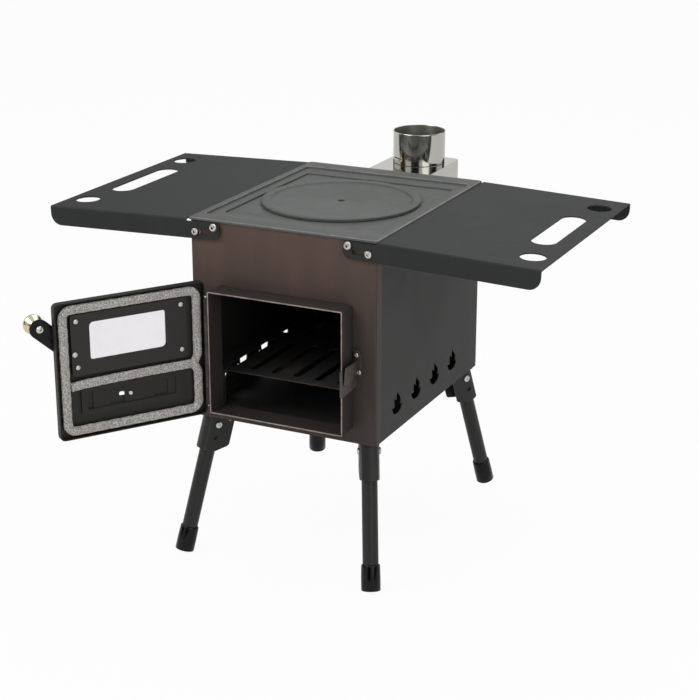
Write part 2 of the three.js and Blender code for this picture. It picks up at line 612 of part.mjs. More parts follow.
// The air slide hangs below the bar, in the lower loop.
const AIR_SLIDE_LENGTH = DOOR_WIDTH - 2 * AIR_SLIDE_IN;
const AIR_SLOT = AIR_SLIDE_LENGTH * AIR_SLOT_SHARE;
const guideHeight = AIR_SLIDE_HEIGHT + 8;
const slideZ = lowerLoop[1] - RUN - guideHeight / 2;
const knobShankX = AIR_SLIDE_SHIFT + AIR_SLIDE_LENGTH * AIR_KNOB_SHARE;
const slideSlots = [-1, 1].map(
  (side) => AIR_SLIDE_SHIFT - 3.5 + (side * AIR_SLIDE_LENGTH * AIR_SLOT_APART_SHARE) / 2,
);

const panOutline = (inset, radius) =>
  rectangle([DOOR_X[0] + inset, DOOR_X[1] - inset], [DOOR_Z[0] + inset, DOOR_Z[1] - inset], radius, 3);
const doorPan = cut(
  facing(panOutline(0, 6), [PAN_FRONT, PAN_FRONT + DOOR_DEPTH]),
  facing(panOutline(SHEET, 4.5), [PAN_BACK, PAN_FRONT + DOOR_DEPTH + 1]),
  facing(inset(windowX, windowZ, 0, 5), [PAN_FRONT - 1, PAN_BACK + 1]),
  ...slideSlots.map((x) =>
    facing(about([x + AIR_SLIDE_TRAVEL + 4.5, slideZ], AIR_SLOT / 2, AIR_SLIDE_HEIGHT - 4, 2), [
      PAN_FRONT - 1,
      PAN_BACK + 1,
    ]),
  ),
  facing(rectangle([knobShankX - 2.5, knobShankX + AIR_SLIDE_TRAVEL + 2.5], [slideZ - 2.5, slideZ + 2.5], 2.4), [
    PAN_FRONT - 1,
    PAN_BACK + 1,
  ]),
  bar("y", LEVER_BOLT + RUN, PAN_FRONT - 1, PAN_BACK + 1, leverPivot, 10),
  ...retainerScrews.map((place) => bar("y", 1.8, PAN_FRONT - 1, PAN_BACK + 1, place, 8)),
);
doorPart("door_panel", doorPan, STOVE_BLACK);

// Moving knuckles on a leaf that is screwed flat to the hinge side of the door.
const leafX = [DOOR_X[0] - FIT - SHEET, DOOR_X[0] - FIT];
const middleBand = [hingeBands[0][1] + FIT, hingeBands[1][0] - FIT];
const hingeLeaf = cut(
  join(
    bar("z", HINGE_RADIUS, ...middleBand, [HINGE.x, HINGE.y], 12),
    block(leafX, [PAN_FRONT + 1, HINGE.y + 0.2], middleBand),
  ),
  bar("z", PIN_RADIUS + FIT, middleBand[0] - 1, middleBand[1] + 1, [HINGE.x, HINGE.y], 8),
);
doorPart("door_hinge_leaf", hingeLeaf, STOVE_BLACK);
const pinTop = hingeBands[1][1] + 1;
const pin = turned(
  "z",
  [[0, hingeBands[0][0] - 2], [PIN_RADIUS, hingeBands[0][0] - 1], [PIN_RADIUS, pinTop], [PIN_RADIUS + 1, pinTop],
    [PIN_RADIUS + 1, pinTop + 1.5], [0, pinTop + 1.8]],
  [HINGE.x, HINGE.y],
  8,
);
part(body, "door_hinge_pin", pin, ZINC).position.x = THROAT_SHIFT;

// Rope seal in a figure of eight: an upper loop round the window and a lower one round the air slide.
function gasketShape() {
  const [x0, x1] = sealX;
  const [z0, z1] = sealZ;
  const cornerIn = GASKET_CORNER - GASKET_WIDTH;
  // The hinge side is pinched in where the two loops part.
  const shape = new THREE.Shape(
    rounded(
      [[x0, z0], [x1, z0], [x1, z1], [x0, z1], [x0, SEAL_BAR_Z + 4], [x0 + GASKET_PINCH, SEAL_BAR_Z],
        [x0, SEAL_BAR_Z - 4]],
      [GASKET_CORNER, GASKET_CORNER, GASKET_CORNER, GASKET_CORNER, 8, 1.5, 8],
      3,
    ),
  );
  shape.holes.push(...[upperLoop, lowerLoop].map((z) => new THREE.Path(rectangle(loopX, z, cornerIn, 3))));
  return shape;
}
const round = 3;
const gasket = new THREE.ExtrudeGeometry(gasketShape(), {
  depth: GASKET_THICK - 2 * round,
  bevelSize: round,
  bevelOffset: -round,
  bevelThickness: round,
  bevelSegments: 1,
});
gasket.rotateX(Math.PI / 2).translate(0, SEAL_Y - round, 0);
doorPart("door_gasket", solid(gasket), ROPE);

// Window: glass held against the door by a shallow pressed retainer.
const glassBack = PAN_BACK + FIT + GLASS_THICK;
doorPart(
  "window_glass",
  facing(inset(windowX, windowZ, -GLASS_OVER, 3), [PAN_BACK + FIT, glassBack]),
  GLASS,
);
const retainerBack = PAN_BACK + RETAINER_DEPTH;
const retainer = cut(
  facing(inset(retainerX, retainerZ, 0, 3), [PAN_BACK + FIT, retainerBack]),
  facing(inset(retainerX, retainerZ, 1.2, 2), [PAN_BACK, retainerBack - 1.2]),
  facing(inset(windowX, windowZ, 0.3, 5), [PAN_BACK, retainerBack + 1]),
  ...retainerScrews.map((place) => bar("y", 1.8, PAN_BACK, retainerBack + 1, place, 8)),
  bar("y", LEVER_BOLT + RUN, PAN_BACK, retainerBack + 1, leverPivot, 10),
);
doorPart("window_retainer", retainer, STOVE_BLACK);
retainerScrews.forEach((place, i) => {
  const mesh = doorPart(`retainer_screw_${i + 1}`, screw(0, 2.9, 1.6, 1.5, 7.2), ZINC);
  mesh.position.set(place[0] - HINGE.x, retainerBack + FIT + 1.6 - HINGE.y, place[1]);
  mesh.rotation.z = Math.PI;
});

// Air slide between two rails of one guide frame; its windows meet the door's slots when it is pushed.
const slideBack = PAN_BACK + FIT + 1.2;
const guideWide = AIR_SLIDE_LENGTH + AIR_SLIDE_TRAVEL + 8;
const guideMiddle = [AIR_SLIDE_SHIFT + AIR_SLIDE_TRAVEL / 2, slideZ];
const guide = cut(
  facing(about(guideMiddle, guideWide, guideHeight, 2), [PAN_BACK + FIT, slideBack + FIT + 1.2]),
  facing(about(guideMiddle, guideWide - 6, AIR_SLIDE_HEIGHT + 2 * RUN, 1), [PAN_BACK, slideBack + FIT]),
  facing(about(guideMiddle, guideWide - 14, AIR_SLIDE_HEIGHT - 3, 2), [PAN_BACK, slideBack + 4]),
);
doorPart("air_slide_guide", guide, STOVE_BLACK);
const slide = cut(
  facing(about([AIR_SLIDE_SHIFT, slideZ], AIR_SLIDE_LENGTH, AIR_SLIDE_HEIGHT, 1), [PAN_BACK + FIT, slideBack]),
  ...slideSlots.map((x) => facing(about([x, slideZ], AIR_SLOT, AIR_SLIDE_HEIGHT - 6, 1.5), [PAN_BACK, slideBack + 1])),
  bar("y", 1.6, PAN_BACK, slideBack + 1, [knobShankX, slideZ], 16),
);
doorPart("air_slide", slide, STOVE_BLACK);
const slideKnob = turned(
  "y",
  [[0, slideBack + 1.1], [2.2, slideBack + 1], [2.4, slideBack + FIT], [1.3, slideBack + FIT],
    [1.3, PAN_FRONT - 1], [3, PAN_FRONT - 1.6], [3.4, PAN_FRONT - 6], [5, PAN_FRONT - 9], [4.4, PAN_FRONT - 12],
    [0, PAN_FRONT - 13]].reverse(),
  [knobShankX, slideZ],
  10,
);
doorPart("air_slide_knob", slideKnob, ZINC);

// ---------------------------------------------------------------- door handle
const lever = new THREE.Group();
lever.name = "handle";
lever.position.set(leverPivot[0] - HINGE.x, PAN_FRONT - HINGE.y, leverPivot[1]);
lever.rotation.y = -LEVER_ANGLE;
doorSwing.add(lever);

const leverOutline = [];
for (let k = 0; k <= 8; k++) {
  const angle = -Math.PI / 2 + (Math.PI * k) / 8;
  leverOutline.push(
    new THREE.Vector2(LEVER_LENGTH + (LEVER_WIDTH / 2) * Math.cos(angle), (LEVER_WIDTH / 2) * Math.sin(angle)),
  );
}
for (let k = 0; k <= 8; k++) {
  const angle = Math.PI / 2 + (Math.PI * k) / 8;
  leverOutline.push(new THREE.Vector2((LEVER_WIDTH / 2) * Math.cos(angle), (LEVER_WIDTH / 2) * Math.sin(angle)));
}
const leverY = [-FIT - LEVER_THICK, -FIT];
const leverPlate = cut(
  facing(leverOutline, leverY),
  bar("y", LEVER_BOLT + FIT, leverY[0] - 1, leverY[1] + 1, [0, 0], 12),
  bar("y", KNOB_BOLT + FIT, leverY[0] - 1, leverY[1] + 1, [LEVER_LENGTH, 0], 12),
);
part(lever, "handle_lever", leverPlate, LEG_BLACK);

// Pivot bolt: a domed head outside, a shank through door and retainer, and a low head beside the window.
const innerHead = retainerBack - PAN_FRONT + FIT;
const pivotBolt = turned(
  "y",
  [[0, leverY[0] - FIT - 3], [3, leverY[0] - FIT - 2.7], [4.6, leverY[0] - FIT - 1.2], [4.6, leverY[0] - FIT],
    [LEVER_BOLT, leverY[0] - FIT], [LEVER_BOLT, innerHead], [3.2, innerHead], [3.2, innerHead + 0.9],
    [2.2, innerHead + 1.7], [0, innerHead + 1.9]],
  [0, 0],
  10,
);
part(lever, "handle_pivot_bolt", pivotBolt, ZINC);

// Spool knob on the outside of the lever, held by a bolt whose head is on the inside.
const knobR = KNOB_DIAMETER / 2;
const knobY = leverY[0] - FIT;
const knob = turned(
  "y",
  [[0, knobY - KNOB_LENGTH], [knobR * 0.55, knobY - KNOB_LENGTH], [knobR * 0.92, knobY - KNOB_LENGTH + 1.6],
    [knobR, knobY - KNOB_LENGTH + 4.4], [knobR * 0.94, knobY - KNOB_LENGTH + 7], [knobR * 0.56, knobY - 9],
    [knobR * 0.46, knobY - 6], [knobR * 0.6, knobY - 1.6], [knobR * 0.56, knobY], [KNOB_BOLT, knobY],
    [KNOB_BOLT, leverY[1] + FIT], [4.4, leverY[1] + FIT], [4.4, leverY[1] + FIT + 1.6], [3.2, leverY[1] + FIT + 3],
    [0, leverY[1] + FIT + 3]],
  [LEVER_LENGTH, 0],
  14,
);
part(lever, "handle_knob", knob, KNOB);

// ---------------------------------------------------------------- side shelves
const innerEdge = FRAME_WIDTH / 2 + SHELF_GAP - SHELF_PIVOT_X; // from the pivot
const outerEdge = innerEdge + SHELF_LENGTH;
const shelfHalf = SHELF_DEPTH / 2;
const holeY = shelfHalf - SHELF_HOLE_END;
const flangeFoot = SHELF_TOP - SHELF_FLANGE;
const slotHalf = PIVOT_SHANK + 0.6; // half height of the sliding slot in the tabs

function shelfSolid() {
  const section = channel(shelfHalf, SHELF_FLANGE, SHEET, 2.5).map((p) => p.add(new THREE.Vector2(0, SHELF_TOP)));
  const tabTop = SHELF_TOP - TAB_DROP;
  const profile = rounded(
    [[-TAB_REACH, flangeFoot], [outerEdge, flangeFoot], [outerEdge, SHELF_TOP + 1], [innerEdge, SHELF_TOP + 1],
      [innerEdge, tabTop], [-TAB_REACH, tabTop]],
    [9, SHELF_CORNER, 0, 0, 0, 5],
    4,
  );
  const slotX = outerEdge - HAND_SLOT_EDGE - HAND_SLOT_WIDTH;
  const through = [SHELF_TOP - 5, SHELF_TOP + 5];
  return cut(
    sideways(section, [-TAB_REACH - 1, outerEdge + 1]).intersect(facing(profile, [-shelfHalf - 1, shelfHalf + 1])),
    flat(
      rectangle([slotX, slotX + HAND_SLOT_WIDTH], [-HAND_SLOT_LENGTH / 2, HAND_SLOT_LENGTH / 2], 14.9, 5),
      through,
    ),
    ...[-1, 1].map((y) => bar("z", SHELF_HOLE / 2, ...through, [outerEdge - SHELF_HOLE_EDGE, y * holeY], 20)),
    facing(rectangle([-SHELF_TRAVEL - slotHalf, slotHalf], [-slotHalf, slotHalf], slotHalf - 0.1, 2), [
      -shelfHalf - 1,
      shelfHalf + 1,
    ]),
    bar("y", PIVOT_SHANK + FIT, -shelfHalf - 1, shelfHalf + 1, [-LOCK_REACH, LOCK_RISE], 12),
  );
}

const flangeIn = shelfHalf - SHEET; // inside face of the flanges
// Pivot screw: head in front of the tab, shank through the slot into the firebox wall.
const pivotScrew = geometryOf(
  screw(-shelfHalf - FIT - 2.6, 4.3, 2.6, PIVOT_SHANK, FIT + SHEET + (flangeIn - HALF_D) + 5),
);
const washer = geometryOf(
  cut(
    bar("y", 6, -flangeIn + FIT, -HALF_D - FIT, [0, 0], 12),
    bar("y", PIVOT_SHANK + FIT, -flangeIn - 1, -HALF_D + 1, [0, 0], 8),
  ),
);
// The lock screw clamps the tab to the frame: it ends flush with the tab, so the shelf can fold past.
const lockScrew = geometryOf(
  join(
    screw(-shelfHalf - FIT - 4.2, 4.1, 2.4, PIVOT_SHANK, FIT + 1.8 + SHEET),
    bar("y", 4.8, -shelfHalf - FIT - 1.8, -shelfHalf - FIT, [0, 0], 10),
  ),
);
const shelfRight = geometryOf(shelfSolid());
const shelves = [
  ["right", 1, shelfRight],
  ["left", -1, mirrored(shelfRight)],
];
for (const [side, sign, shape] of shelves) {
  const hung = new THREE.Group();
  hung.name = `${side}_shelf_hung`;
  hung.position.set(sign * SHELF_PIVOT_X, 0, SHELF_PIVOT_Z);
  hung.rotation.y = sign * SHELF_DROOP;
  body.add(hung);
  part(hung, `${side}_shelf`, shape, SHELF_GREY);
  for (const [end, turn] of [["front", 0], ["back", Math.PI]]) {
    const lock = part(hung, `${side}_${end}_lock_screw`, lockScrew.clone(), ZINC);
    lock.position.set(-sign * LOCK_REACH, 0, LOCK_RISE);
    lock.rotation.z = turn;
    part(hung, `${side}_${end}_pivot_washer`, washer.clone(), ZINC).rotation.z = turn;
    const fixed = part(body, `${side}_${end}_pivot_screw`, pivotScrew.clone(), ZINC);
    fixed.position.copy(hung.position);
    fixed.rotation.z = turn;
  }
}

// ---------------------------------------------------------------- legs
// Each leg is drawn in a frame whose +X points outward along its own heading.
const tilt = new THREE.Matrix4().makeRotationY(-LEG_SPLAY);
const ROOF = LEG_PIVOT_DROP - FIT; // underside of the firebox in the leg's frame

function bracketSolid() {
  const reach = BRACKET_DROP;
  const half = BRACKET_HALF;
  const plan = (inset) =>
    rounded(
      [[-BRACKET_BACK - (inset ? 9 : 0), inset - half], [BRACKET_WEB - inset, inset - half],
        [BRACKET_WEB - inset, half - inset], [-BRACKET_BACK - (inset ? 9 : 0), half - inset]],
      [0, 8 - inset, 8 - inset, 0],
      2,
    );
  const trough = moved(cut(flat(plan(0), [-reach, 34]), flat(plan(SHEET), [-reach - 1, 35])), tilt);
  // The sides are cut off at a slope towards the open edge, with a small clipped corner.
  const [along, up] = BRACKET_CUT;
  const slope = facing(
    [[-BRACKET_BACK - 9, -reach - 2], [-BRACKET_BACK + along, -reach - 2], [-BRACKET_BACK + along, -reach],
      [-BRACKET_BACK + 2, -reach + up - 0.5], [-BRACKET_BACK, -reach + up + 2],
      [-BRACKET_BACK - 9, -reach + up + 2]].map(([u, v]) => new THREE.Vector2(u, v)),
    [-20, 20],
  );
  const roofPlate = block([-BRACKET_BACK - 6, BRACKET_WEB - 3], [-half + 0.6, half - 0.6], [ROOF - SHEET, ROOF]);
  const open = join(
    cut(trough, moved(slope, tilt), block([-80, 80], [-40, 40], [ROOF, 90])),
    roofPlate,
  );
  const axis = new THREE.Vector3(0, 0, -LOCK_HOLE_DROP).applyMatrix4(tilt);
  const rivet = [-1, 1].map((side) =>
    turned(
      "y",
      side < 0
        ? [[0, -half - 1.4], [2, -half - 1.2], [2.9, -half + 0.3], [0, -half + 0.3]]
        : [[0, half - 0.3], [2.9, half - 0.3], [2, half + 1.2], [0, half + 1.4]],
      [-BRACKET_BACK + 4.6, 4.2],
      8,
    ),
  );
  return join(
    cut(
      open,
      bar("y", 2.7, -half - 2, half + 2, [0, 0], 8),
      bar("y", 2.9, -half - 2, half + 2, [axis.x, axis.z], 10),
    ),
    ...rivet,
  );
}

const tubeEnd = -LEG_LENGTH + 3 + FIT;
const tubeTop = 5;
const tube = moved(
  cut(
    turned("z", [[LEG_DIAMETER / 2 - LEG_WALL, tubeEnd], [LEG_DIAMETER / 2, tubeEnd], [LEG_DIAMETER / 2, tubeTop],
      [LEG_DIAMETER / 2 - LEG_WALL, tubeTop], [LEG_DIAMETER / 2 - LEG_WALL, tubeEnd]], [0, 0], 14),
    bar("y", 2.7, -12, 12, [0, 0], 8),
  ),
  tilt,
);
const boltEnd = BRACKET_HALF + FIT;
const legBolt = turned(
  "y",
  [[0, -boltEnd - 2.2], [2.8, -boltEnd - 2], [4.3, -boltEnd - 0.6], [4.3, -boltEnd], [2.3, -boltEnd], [2.3, boltEnd],
    [4.3, boltEnd], [4.3, boltEnd + 0.6], [2.8, boltEnd + 2], [0, boltEnd + 2.2]],
  [0, 0],
  10,
);
const footR = FOOT_DIAMETER / 2;
const floorDrop = BODY_Z - LEG_PIVOT_DROP;
const foot = cut(
  moved(
    turned("z", [[0, -LEG_LENGTH], [footR - 0.6, -LEG_LENGTH], [footR, -LEG_LENGTH + 0.6],
      [footR - 0.5, -LEG_LENGTH + FOOT_LENGTH - 1.2], [footR - 1.2, -LEG_LENGTH + FOOT_LENGTH],
      [LEG_DIAMETER / 2 + FIT, -LEG_LENGTH + FOOT_LENGTH], [LEG_DIAMETER / 2 + FIT, -LEG_LENGTH + 3],
      [0, -LEG_LENGTH + 3]], [0, 0], 14),
    tilt,
  ),
  block([-100, 100], [-50, 50], [-floorDrop - 20, -floorDrop]),
);

const bracket = geometryOf(bracketSolid());
const tubeShape = geometryOf(tube);
const boltShape = geometryOf(legBolt);
const footShape = geometryOf(foot);
for (const [end, y] of [["front", -1], ["rear", 1]]) {
  for (const [side, x] of [["left", -1], ["right", 1]]) {
    const leg = new THREE.Group();
    leg.name = `${end}_${side}_leg`;
    leg.position.set(x * (HALF_W - LEG_PIVOT_IN), y * (HALF_D - LEG_PIVOT_END_IN), -LEG_PIVOT_DROP);
    leg.rotation.z = Math.atan2(y * Math.cos(LEG_HEADING), x * Math.sin(LEG_HEADING));
    body.add(leg);
    part(leg, `${end}_${side}_leg_bracket`, bracket.clone(), LEG_BLACK);
    part(leg, `${end}_${side}_leg_bolt`, boltShape.clone(), ZINC);
    part(leg, `${end}_${side}_leg_tube`, tubeShape.clone(), LEG_BLACK);
    part(leg, `${end}_${side}_foot_cap`, footShape.clone(), FOOT_BLACK);
  }
}

// ---------------------------------------------------------------- flue box and collar
const flueY = [HALF_D + FIT, FLUE_BACK];
const flueX = FLUE_WIDTH / 2;
const fluePlan = (inset, front) => {
  const radius = Math.max(9 - inset, 1);
  return rounded(
    [[-flueX + inset, front], [flueX - inset, front], [flueX - inset, flueY[1] - inset],
      [-flueX + inset, flueY[1] - inset]],
    [0, 0, radius, radius],
    5,
  );
};
const flueFlange = cut(
  facing(about([0, FLUE_MIDDLE], FLUE_WIDTH + 14, FLUE_HEIGHT + 2, 3), [flueY[0], flueY[0] + FLUE_WALL]),
  facing(about([0, FLUE_MIDDLE], FLUE_WIDTH - 16, FLUE_HEIGHT - 16, 4), [flueY[0] - 1, flueY[0] + 3]),
);
const flueBox = cut(
  join(
    cut(
      flat(fluePlan(0, flueY[0]), [FLUE_TOP - FLUE_HEIGHT, FLUE_TOP]),
      flat(fluePlan(FLUE_WALL, flueY[0] - 2), [FLUE_TOP - FLUE_HEIGHT + FLUE_WALL, FLUE_TOP - FLUE_WALL]),
    ),
    flueFlange,
  ),
  bar("z", COLLAR_DIAMETER / 2 - 2, FLUE_TOP - 4, FLUE_TOP + 2, [0, COLLAR_Y], 30),
);
part(body, "flue_box", flueBox, STAINLESS);

const collarR = COLLAR_DIAMETER / 2;
const collarFoot = FLUE_TOP + FIT;
const collarTop = FLUE_TOP + COLLAR_HEIGHT;
const collarShell = turned(
  "z",
  [[collarR - 2.4, collarFoot], [collarR, collarFoot], [collarR, collarTop], [collarR - FLUE_WALL, collarTop],
    [collarR - FLUE_WALL, collarFoot + 1], [collarR - 2.4, collarFoot + 1], [collarR - 2.4, collarFoot]],
  [0, COLLAR_Y],
  30,
);
// A short level slot takes the pipe's locking screw.
const SCREW_TURN = -110 * DEG; // where the screw stands round the collar
const slotZ = collarFoot + 8;
const slotCutters = [0, 6, 12, 18, 24].map((step) => {
  const angle = SCREW_TURN - step * DEG;
  const cutter = new THREE.BoxGeometry(6, 6, 1.6).rotateZ(angle);
  return solid(cutter.translate(collarR * Math.cos(angle), COLLAR_Y + collarR * Math.sin(angle), slotZ));
});
const screwBore = new THREE.Matrix4().makeRotationZ(SCREW_TURN + Math.PI / 2);
screwBore.setPosition(0, COLLAR_Y, slotZ);
part(
  body,
  "flue_collar",
  cut(collarShell, ...slotCutters, moved(bar("y", 2.2, -collarR - 2, -collarR + 4, [0, 0], 16), screwBore)),
  STAINLESS,
);
const collarScrew = part(body, "flue_collar_screw", screw(-collarR - FIT - 2, 3.4, 2, 1.9, 5), ZINC);
collarScrew.position.set(0, COLLAR_Y, slotZ);
collarScrew.rotation.z = SCREW_TURN + Math.PI / 2;

// ---------------------------------------------------------------- stand it on the floor, centred
group.updateMatrixWorld(true);
const bounds = new THREE.Box3().setFromObject(group, true);
const middle = bounds.getCenter(new THREE.Vector3());
group.position.set(-middle.x, -middle.y, -bounds.min.z);

export default group;
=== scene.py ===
import bmesh
import bpy
import math
from mathutils import Matrix, Vector


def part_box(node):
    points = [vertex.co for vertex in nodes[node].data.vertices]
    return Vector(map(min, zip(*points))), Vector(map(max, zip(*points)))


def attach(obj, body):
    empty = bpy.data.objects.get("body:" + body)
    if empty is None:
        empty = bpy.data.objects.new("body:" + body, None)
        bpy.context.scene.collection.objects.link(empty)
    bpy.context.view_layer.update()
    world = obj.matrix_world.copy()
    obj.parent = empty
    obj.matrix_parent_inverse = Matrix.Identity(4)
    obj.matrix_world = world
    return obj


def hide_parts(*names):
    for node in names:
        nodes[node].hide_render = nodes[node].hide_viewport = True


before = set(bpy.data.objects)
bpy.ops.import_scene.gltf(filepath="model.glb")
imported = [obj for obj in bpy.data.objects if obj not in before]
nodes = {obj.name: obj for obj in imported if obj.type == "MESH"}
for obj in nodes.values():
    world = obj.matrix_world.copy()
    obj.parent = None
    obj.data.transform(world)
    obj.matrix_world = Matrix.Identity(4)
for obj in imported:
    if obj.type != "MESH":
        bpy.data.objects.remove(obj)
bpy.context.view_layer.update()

# ---------------------------------------------------------------- studio
# The stove stands on a plain white floor in a white room. The light is broad and soft, from
# above and the left, and dark screens out of sight give the bright metal something to mirror.
MM = 0.001
front_low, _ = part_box("front_panel")
_, back_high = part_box("back_panel")
FIREBOX = Vector((0.0, (front_low[1] + back_high[1]) / 2, front_low[2]))


def at(x, y, z):
    """A place measured in millimetres from the middle of the firebox floor."""
    return FIREBOX + Vector((x, y, z)) * MM


def middle(box):
    """The middle of a node's box."""
    low, high = box
    return (Vector(low) + Vector(high)) / 2


class Socket:
    """One value among the nodes. Sums, products and differences of it are further values."""

    def __init__(self, works, socket):
        self.works, self.socket = works, socket

    def __add__(self, other):
        return self.works.maths("ADD", self, other)

    def __mul__(self, other):
        return self.works.maths("MULTIPLY", self, other)

    def __sub__(self, other):
        return self.works.maths("SUBTRACT", self, other)

    def __rsub__(self, other):
        return self.works.maths("SUBTRACT", other, self)

    def __truediv__(self, other):
        return self.works.maths("DIVIDE", self, other)

    __radd__ = __add__
    __rmul__ = __mul__

    def rising(self, low, high):
        """From 0 to 1 between two of its values, with soft ends."""
        steps = {"interpolation_type": "SMOOTHSTEP"}
        return self.works.node("MapRange", steps, {"Value": self, "From Min": low, "From Max": high})


class Works:
    """A tree of nodes, built one node at a time."""

    def __init__(self, tree):
        self.tree = tree
        self.tree.nodes.clear()

    def node(self, kind, settings=None, inputs=None, out=0):
        made = self.tree.nodes.new(kind if "Node" in kind else "ShaderNode" + kind)
        for key, value in (settings or {}).items():
            if key == "stops":
                ramp = made.color_ramp.elements
                while len(ramp) < len(value):
                    ramp.new(0.5)
                for stop, (place, colour) in zip(ramp, value):
                    stop.position, stop.color = place, (*colour, 1)
            else:
                setattr(made, key, value)
        for key, value in (inputs or {}).items():
            for one in value if isinstance(value, list) else [value]:
                if isinstance(one, Socket):
                    self.tree.links.new(one.socket, made.inputs[key])
                elif one is not None:
                    made.inputs[key].default_value = one
        return Socket(self, made.outputs[out])

    def maths(self, operation, first, second=None):
        return self.node("Math", {"operation": operation}, {0: first, 1: second})


class Finish(Works):
    """A material."""

    def __init__(self, name, tree=None):
        self.material = None
        if tree is None:
            self.material = bpy.data.materials.new(name)
            self.material.use_nodes = True
            tree = self.material.node_tree
        super().__init__(tree)

    def shown(self, shader, kind="OutputMaterial"):
        self.tree.links.new(shader.socket, self.tree.nodes.new("ShaderNode" + kind).inputs["Surface"])
        return self.material

    def place(self, scale=(1, 1, 1), turn=(0, 0, 0)):
        """Object coordinates, stretched and turned."""
        coordinates = self.node("TexCoord", out="Object")
        return self.node("Mapping", None, {"Vector": coordinates, "Scale": scale, "Rotation": turn})

    def noise(self, scale, detail=3.0, roughness=0.5, where=None, distortion=0.0):
        return self.node("TexNoise", None, {
            "Vector": where or self.place(), "Scale": scale, "Detail": detail, "Roughness": roughness,
            "Distortion": distortion})

    def mixed(self, share, first, second):
        """A colour between two others."""
        wide = [c if isinstance(c, Socket) else (*c, 1) for c in (first, second)]
        return self.node("Mix", {"data_type": "RGBA"}, {0: share, 6: wide[0], 7: wide[1]}, out=2)

    def bump(self, height, strength, distance, over=None):
        return self.node("Bump", None, {"Height": height, "Strength": strength, "Distance": distance,
                                        "Normal": over})

    def surface(self, **inputs):
        return self.node("BsdfPrincipled", None, {k.replace("_", " "): v for k, v in inputs.items()})


CAMERA_AZIMUTH = math.radians(25.856)
CAMERA_HEIGHT = math.radians(19.39)
CAMERA_DISTANCE = 2.17251
FOCAL_LENGTH, PICTURE_WIDTH = 1727.62, 699  # both in pixels
AIM = at(11.303, 0, 53.615)
camera_data = bpy.data.cameras.new("photo_camera")
camera_data.sensor_fit = "HORIZONTAL"
camera_data.sensor_width = 36
camera_data.lens = camera_data.sensor_width * FOCAL_LENGTH / PICTURE_WIDTH
camera = bpy.data.objects.new("photo_camera", camera_data)
bpy.context.collection.objects.link(camera)
away = Vector((math.sin(CAMERA_AZIMUTH) * math.cos(CAMERA_HEIGHT),
               -math.cos(CAMERA_AZIMUTH) * math.cos(CAMERA_HEIGHT), math.sin(CAMERA_HEIGHT)))
camera.location = AIM + away * CAMERA_DISTANCE
camera.rotation_euler = away.to_track_quat("Z", "Y").to_euler()
bpy.context.scene.camera = camera
bpy.context.scene.view_settings.view_transform = "Standard"

WHITE = (1.0, 1.0, 1.0, 1)
sky = bpy.data.worlds.new("white_room")
bpy.context.scene.world = sky
sky.use_nodes = True
room = Finish("white_room", sky.node_tree)
seen = room.node("LightPath", out="Is Camera Ray")
mirrored = room.node("LightPath", out="Is Glossy Ray")
through = room.node("LightPath", out="Is Transmission Ray")
direction = room.node("TexCoord", out="Generated")
upward = room.node("SeparateXYZ", None, {0: direction}, out="Z")
east = room.node("SeparateXYZ", None, {0: direction}, out="X")
north = room.node("SeparateXYZ", None, {0: direction}, out="Y")
round_about = room.maths("ARCTAN2", north, east) * (0.5 / math.pi) + 0.5
# What bright metal mirrors on one turn round the horizon: pale walls and dark screens.
DARK, PALE = (0.012, 0.012, 0.010), (1.0, 1.0, 0.99)
screens = room.node("ValToRGB", {"stops": [
    (0.0, PALE), (0.05, PALE), (0.075, DARK), (0.13, DARK), (0.15, PALE), (0.205, PALE), (0.225, DARK),
    (0.31, DARK), (0.325, PALE), (0.42, PALE), (0.44, (0.25, 0.25, 0.23)), (0.50, DARK), (0.545, DARK),
    (0.56, PALE), (0.66, PALE), (0.675, DARK), (0.725, DARK), (0.745, PALE), (0.83, PALE),
    (0.845, DARK), (0.90, (0.2, 0.2, 0.18)), (0.93, PALE)]}, {0: round_about})
reflected = room.mixed(upward.rising(0.3, 0.5), screens, (1.0, 1.0, 1.0))
ROOM_LIGHT, MIRRORED_LIGHT = 0.42, 0.85
lit = room.node("Background", None, {"Color": WHITE, "Strength": ROOM_LIGHT})
mirror = room.node("Background", None, {"Color": reflected, "Strength": MIRRORED_LIGHT})
white = room.node("Background", None, {"Color": WHITE, "Strength": 1.0})
lit_or_mirror = room.node("MixShader", None, {0: mirrored, 1: lit, 2: mirror})
looked_at = room.maths("MAXIMUM", seen, through)
room.shown(room.node("MixShader", None, {0: looked_at, 1: lit_or_mirror, 2: white}), "OutputWorld")


def softbox(name, place, target, size, power):
    """A broad lamp of some width, height and watts, turned to face a target."""
    data = bpy.data.lights.new(name, "AREA")
    data.shape, data.size, data.size_y, data.energy = "RECTANGLE", size[0], size[1], power
    lamp = bpy.data.objects.new(name, data)
    lamp.location = place
    lamp.rotation_euler = (Vector(place) - Vector(target)).to_track_quat("Z", "Y").to_euler()
    bpy.context.collection.objects.link(lamp)


softbox("key_softbox", (-1.3, -1.6, 2.0), (0, 0, 0.3), (1.6, 1.2), 26)
softbox("fill_softbox", (2.0, -1.2, 1.1), (0, 0, 0.25), (1.4, 1.4), 8)
softbox("top_softbox", (0.2, 0.8, 2.2), (0, 0, 0.4), (1.8, 1.4), 15)

